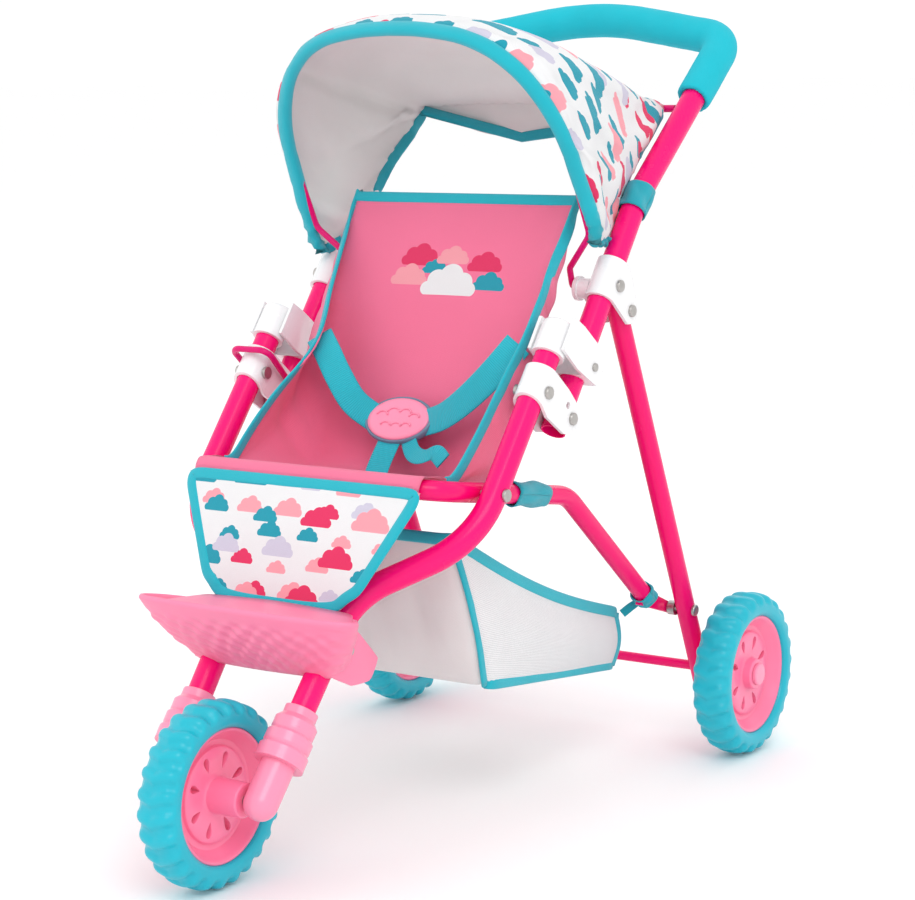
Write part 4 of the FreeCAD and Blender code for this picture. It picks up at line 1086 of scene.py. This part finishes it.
def basket_ring(v):
    """One level of the basket, v 0 at the floor's edge and 1 at the rim, as (points, tags)."""
    front = BASKET["front_low"] + (BASKET["front_top"] - BASKET["front_low"]) * v
    rear = BASKET["rear_low"] + (BASKET["rear_top"] - BASKET["rear_low"]) * v
    belly = math.sin(math.pi * min(v * 1.1, 1))
    half = BASKET_HALF - 0.0035 + 0.0035 * belly
    bow = 0.010 * math.sin(math.pi * v * 0.5)
    corners = [(-half, front), (-half, rear), (half, rear), (half, front)]
    points, uvs = [], []
    for side in range(4):
        (xa, a), (xb, b) = corners[side], corners[(side + 1) % 4]
        count = 36 if side % 2 == 0 else 24
        for k in range(count):
            t = k / count
            x = xa + (xb - xa) * t
            y, z = a + (b - a) * t
            swell = math.sin(math.pi * t)
            if side % 2 == 0:
                z -= bow * swell
                x += math.copysign(0.0030 * belly * swell + 0.0020 * belly * ripple((x, y, z), 24, 4), x)
            else:
                y += (-0.0060 if side == 3 else 0.0024) * belly * swell
                y += 0.0030 * ripple((x, y, z), 28, 6) * belly
                if side == 3:
                    y += (0.0026 * math.sin(t * 26 + 3 * v) + 0.0018 * math.sin(t * 41 - 5 * v)) * belly * swell
            corner = min(t, 1 - t) * (0.2 if side % 2 == 0 else 0.19)
            pull = 0.0045 * (1 - min(corner / CORNER, 1)) ** 2
            points.append((x - math.copysign(pull, x), y + (pull if y < 0.06 else -pull), z))
            uvs.append(side)
    return np.array(points), uvs


def build_basket():
    """One sewn shell: sagging floor, mesh sides and rear, plain cloth front."""
    levels = [basket_ring(v)[0] for v in np.linspace(0, 1, 22)]
    tags = basket_ring(0.5)[1]
    base = levels[0]
    centre = base.mean(axis=0) - np.array([0, 0, 0.002])
    floor = []
    for share in (0.02, 0.25, 0.5, 0.72, 0.88, 0.96):
        ring = centre + (base - centre) * share
        ring[:, 2] -= 0.0015 * (1 - share)
        floor.append(ring)
    rows = np.array(floor + levels)
    round_over = np.array([0, 0, 0.0012])
    rows[len(floor)] += round_over
    count = rows.shape[1]
    faces = quads(len(rows), count, False, True)
    faces.append(tuple(range(count))[::-1])
    run = lengths(np.vstack([rows[-8], rows[-8][:1]]))
    height = lengths(rows[:, count // 8])
    uvs = []
    for i in range(len(rows) - 1):
        for j in range(count):
            uvs += [(run[j], height[i]), (run[j + 1], height[i]), (run[j + 1], height[i + 1]),
                    (run[j], height[i + 1])]
    uvs += [(0, 0)] * count
    shell = put("basket_shell", rows.reshape(-1, 3), faces, "mesh", uvs)
    shell.data.materials.append(M["lining"])
    front_start = 36 + 24 + 36
    for index, face in enumerate(shell.data.polygons):
        row, column = divmod(index, count)
        plain = row < len(floor) or column >= front_start
        face.material_index = 1 if plain else 0
    thicken(shell, CLOTH)
    rim = levels[-1]
    bands = []
    closed = spaced(np.vstack([rim, rim[:1]]), 241)[:-1]
    bands.append(sweep("basket_rim", closed, UPRIGHT, RIM_BAND,
                       "band", closed=True))
    for tag, column in (("right_front", 0), ("left_front", 96), ("right_rear", 35), ("left_rear", 61)):
        line = np.array([level[column] for level in levels])
        lifted = line + np.array([math.copysign(0.0006, line[0][0]), 0, 0])
        bands.append(sweep("basket_seam_" + tag, lifted, (0, 1.0, 0), SEAM_BAND, "band"))
    for tag, start, stop in (("right", 0, 36), ("left", 61, 97)):
        line = levels[0][start:stop] + np.array([0, 0, 0.001])
        bands.append(sweep("basket_foot_" + tag, line, UPRIGHT,
                           FOOT_BAND, "band"))
    for obj in bands:
        piece(obj, "front_frame", "band_cloth")
    piece(shell, "front_frame", "basket_cloth", "basket")


build_basket()

# ---------------------------------------------------------------- harness


def ribbon(name, points, sides, width, material="strap", thickness=0.0014):
    line = curve_through(np.hstack([mm(*points).reshape(-1, 3), np.array(sides, float)]), 60)
    return sweep(name, line[:, :3], unit(line[:, 3:]), oval(width, thickness, 12, 4.0), material)


def build_harness():
    """Flat straps from the seat's sides and from between the legs to the buckle."""
    straps = [
        ribbon("strap_right", [(-84, 6, 360), (-70, -3, 349), (-55, -9, 331), (-40, -10, 312), (-22, -6, 299)],
               [(0.63, 0.53, 0.56), (0.6, 0.5, 0.6), (0.55, 0.5, 0.65), (0.45, 0.5, 0.75),
                (0.3, 0.5, 0.82)], 0.022),
        ribbon("strap_left", [(103, 2, 363), (88, -8, 343), (66, -12, 322), (44, -11, 307), (22, -6, 299)],
               [(-0.57, -0.1, 0.79), (-0.55, 0.0, 0.8), (-0.5, 0.15, 0.82), (-0.4, 0.3, 0.84),
                (-0.3, 0.45, 0.84)], 0.022),
        ribbon("strap_crotch", [(-2, -12, 291), (-3, -21, 280), (-4, -29, 269), (-4, -36, 259.6)],
               [(1, 0, 0), (1, 0, 0), (1, 0, 0), (1, 0, 0)], 0.021),
        ribbon("strap_tail", [(12, -14, 290), (22, -22, 279), (34, -27, 277), (46, -27, 281), (56, -31, 276)],
               [(0.5, 0.3, 0.8), (0.4, 0.5, 0.75), (0.1, 0.7, 0.7), (0.2, 0.6, 0.75), (0.5, 0.4, 0.75)], 0.014),
    ]
    for obj in straps:
        piece(obj, "front_frame", "strap_web")
    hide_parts("harness_straps")
    low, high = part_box("harness_buckle")
    centre = np.array([(low.x + high.x) / 2, (low.y + high.y) / 2, (low.z + high.z) / 2])
    lean = math.radians(52)
    up = np.array([0, math.cos(lean), math.sin(lean)])
    out = np.array([0, -math.sin(lean), math.cos(lean)])
    side = np.array([1.0, 0, 0])

    def dome(name, rings, material):
        points = []
        for grow, rise in rings:
            for k in range(72):
                angle = 2 * math.pi * k / 72
                points.append(centre + side * math.cos(angle) * 0.0305 * grow
                              + up * math.sin(angle) * 0.0202 * grow + out * rise)
        faces = quads(len(rings), 72, False, True)
        faces.append(tuple(range(72))[::-1])
        faces.append(tuple((len(rings) - 1) * 72 + k for k in range(72)))
        return put(name, points, faces, material)

    rim = dome("buckle_body", [(0.93, -0.0035), (1.0, -0.0022), (1.02, 0.0), (1.0, 0.0026), (0.965, 0.0036),
                               (0.925, 0.0034), (0.905, 0.0022)], "buckle_rim")
    rings = [(0.915, 0.0015), (0.912, 0.0034), (0.89, 0.0042)]
    for grow in (0.80, 0.70, 0.60, 0.50, 0.40, 0.30, 0.20, 0.10, 0.02):
        rings.append((grow, 0.0044 + 0.0010 * (1 - grow ** 2)))
    face = dome("buckle_face", rings, "buckle")
    ridges = []
    bumps = [(-0.0145, 0.001, 0.0052), (-0.005, 0.004, 0.0056), (0.006, 0.004, 0.0054), (0.0150, 0.001, 0.0048),
             (-0.0085, -0.0075, 0.0044), (0.0015, -0.0080, 0.0046), (0.0105, -0.0070, 0.0042)]
    for k, (x, y, size) in enumerate(bumps):
        arc = [centre + side * (x + size * math.cos(a)) + up * (y + 0.8 * size * math.sin(a)) + out * 0.0054
               for a in np.linspace(0.2, math.pi - 0.2, 12)]
        ridges.append(sweep(f"buckle_ridge_{k}", np.array(arc), out, oval(0.0016, 0.0015, 8), "buckle"))
    ridge = merge("buckle_ridges", ridges)
    for obj, name in ((rim, "buckle_plastic"), (face, "buckle_plastic"), (ridge, "buckle_plastic")):
        piece(obj, "front_frame", name)
    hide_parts("harness_buckle")


build_harness()


def tube_loop(name, centre, along, radius, width, body, material="dark_band", across=(1.0, 0, 0)):
    """A creased cloth loop round a tube."""
    along = unit(np.array(along, float))
    across = unit(np.array(across, float))
    lift = np.cross(along, across)
    rows = []
    for s in np.linspace(-0.5, 0.5, 13):
        ring = []
        for k in range(36):
            angle = 2 * math.pi * k / 36
            crease = 0.0006 * math.sin(4 * angle + s * 7) + 0.0005 * math.sin(2 * angle - s * 9)
            ring.append(centre + along * s * width
                        + (across * math.cos(angle) + lift * math.sin(angle)) * (radius + 0.0011 + crease))
        rows.append(ring)
    rows = np.array(rows)
    band = grid(name, np.concatenate([rows, rows[:, :1]], axis=1), material)
    thicken(band, 0.0010, offset=0.5)
    piece(band, body, "band_cloth")
    return band


SEAT_ARM = 0.112
SEAT_TUBE = 0.0075
for tag, sign in SIDES:
    tube_loop("seat_loop_" + tag, np.array([sign * SEAT_ARM, -0.004, 0.2515]), (0, 175, -30.7),
              SEAT_TUBE, 0.044, "seat_frame")
    tube_loop("basket_loop_" + tag, np.array([sign * SEAT_ARM, 0.176, 0.139]), (0, 128, -107.3),
              SEAT_TUBE, 0.012, "seat_frame")
    tail = ribbon("basket_tie_" + tag, [(sign * 94, 172, 122), (sign * 99, 176, 127), (sign * 104, 178, 131),
                                        (sign * 107, 178, 134)],
                  [(0, 0.2, 1), (0, 0.3, 1), (0, 0.4, 0.9), (0, 0.5, 0.8)], 0.007, "dark_band")
    piece(tail, "front_frame", "band_cloth")

# ---------------------------------------------------------------- floor, light and camera

floor_look = Look("floor", 0.9)
floor_place = floor_look.place()
floor_look.colour(floor_look.shades(floor_place, (0.97, 0.97, 0.97), 2.0, 0.995, 1.01))
mesh = bpy.data.meshes.new("floor")
mesh.from_pydata([(-60, -60, 0), (60, -60, 0), (60, 60, 0), (-60, 60, 0)], [], [(0, 1, 2, 3)])
mesh.materials.append(floor_look.material)
floor = bpy.data.objects.new("floor", mesh)
bpy.context.scene.collection.objects.link(floor)

world = bpy.data.worlds.new("studio")
world.use_nodes = True
world.node_tree.nodes["Background"].inputs["Color"].default_value = (1.0, 1.0, 1.0, 1)
world.node_tree.nodes["Background"].inputs["Strength"].default_value = 1.03
bpy.context.scene.world = world
bpy.context.scene.view_settings.view_transform = "Standard"


def area_light(name, place, target, size, power):
    data = bpy.data.lights.new(name, "AREA")
    data.energy = power
    data.size = size
    lamp = bpy.data.objects.new(name, data)
    lamp.location = place
    lamp.rotation_mode = "QUATERNION"
    lamp.rotation_quaternion = (Vector(target) - Vector(place)).to_track_quat("-Z", "Y")
    bpy.context.scene.collection.objects.link(lamp)


area_light("key", (1.6, -1.8, 2.4), (0, 0, 0.3), 1.6, 26)
area_light("fill", (-2.2, -1.4, 1.4), (0, 0, 0.3), 2.2, 6)
area_light("back", (-0.4, 2.4, 2.0), (0, 0, 0.4), 2.0, 8)

AZIMUTH = math.radians(33.44)
ELEVATION = math.radians(9.21)
ROLL = math.radians(-0.963)
DISTANCE = 1.902
TARGET = Vector((0, 0.0734, 0.2652))
back = Vector((math.sin(AZIMUTH) * math.cos(ELEVATION), -math.cos(AZIMUTH) * math.cos(ELEVATION),
               math.sin(ELEVATION)))
camera_data = bpy.data.cameras.new("camera")
camera_data.sensor_width = 36
camera_data.lens = 93.8
camera_data.clip_start = 0.05
camera = bpy.data.objects.new("camera", camera_data)
camera.location = TARGET + back * DISTANCE
camera.rotation_mode = "QUATERNION"
camera.rotation_quaternion = (-back).to_track_quat("-Z", "Y") @ Quaternion((0, 0, 1), ROLL)
bpy.context.scene.collection.objects.link(camera)
bpy.context.scene.camera = camera
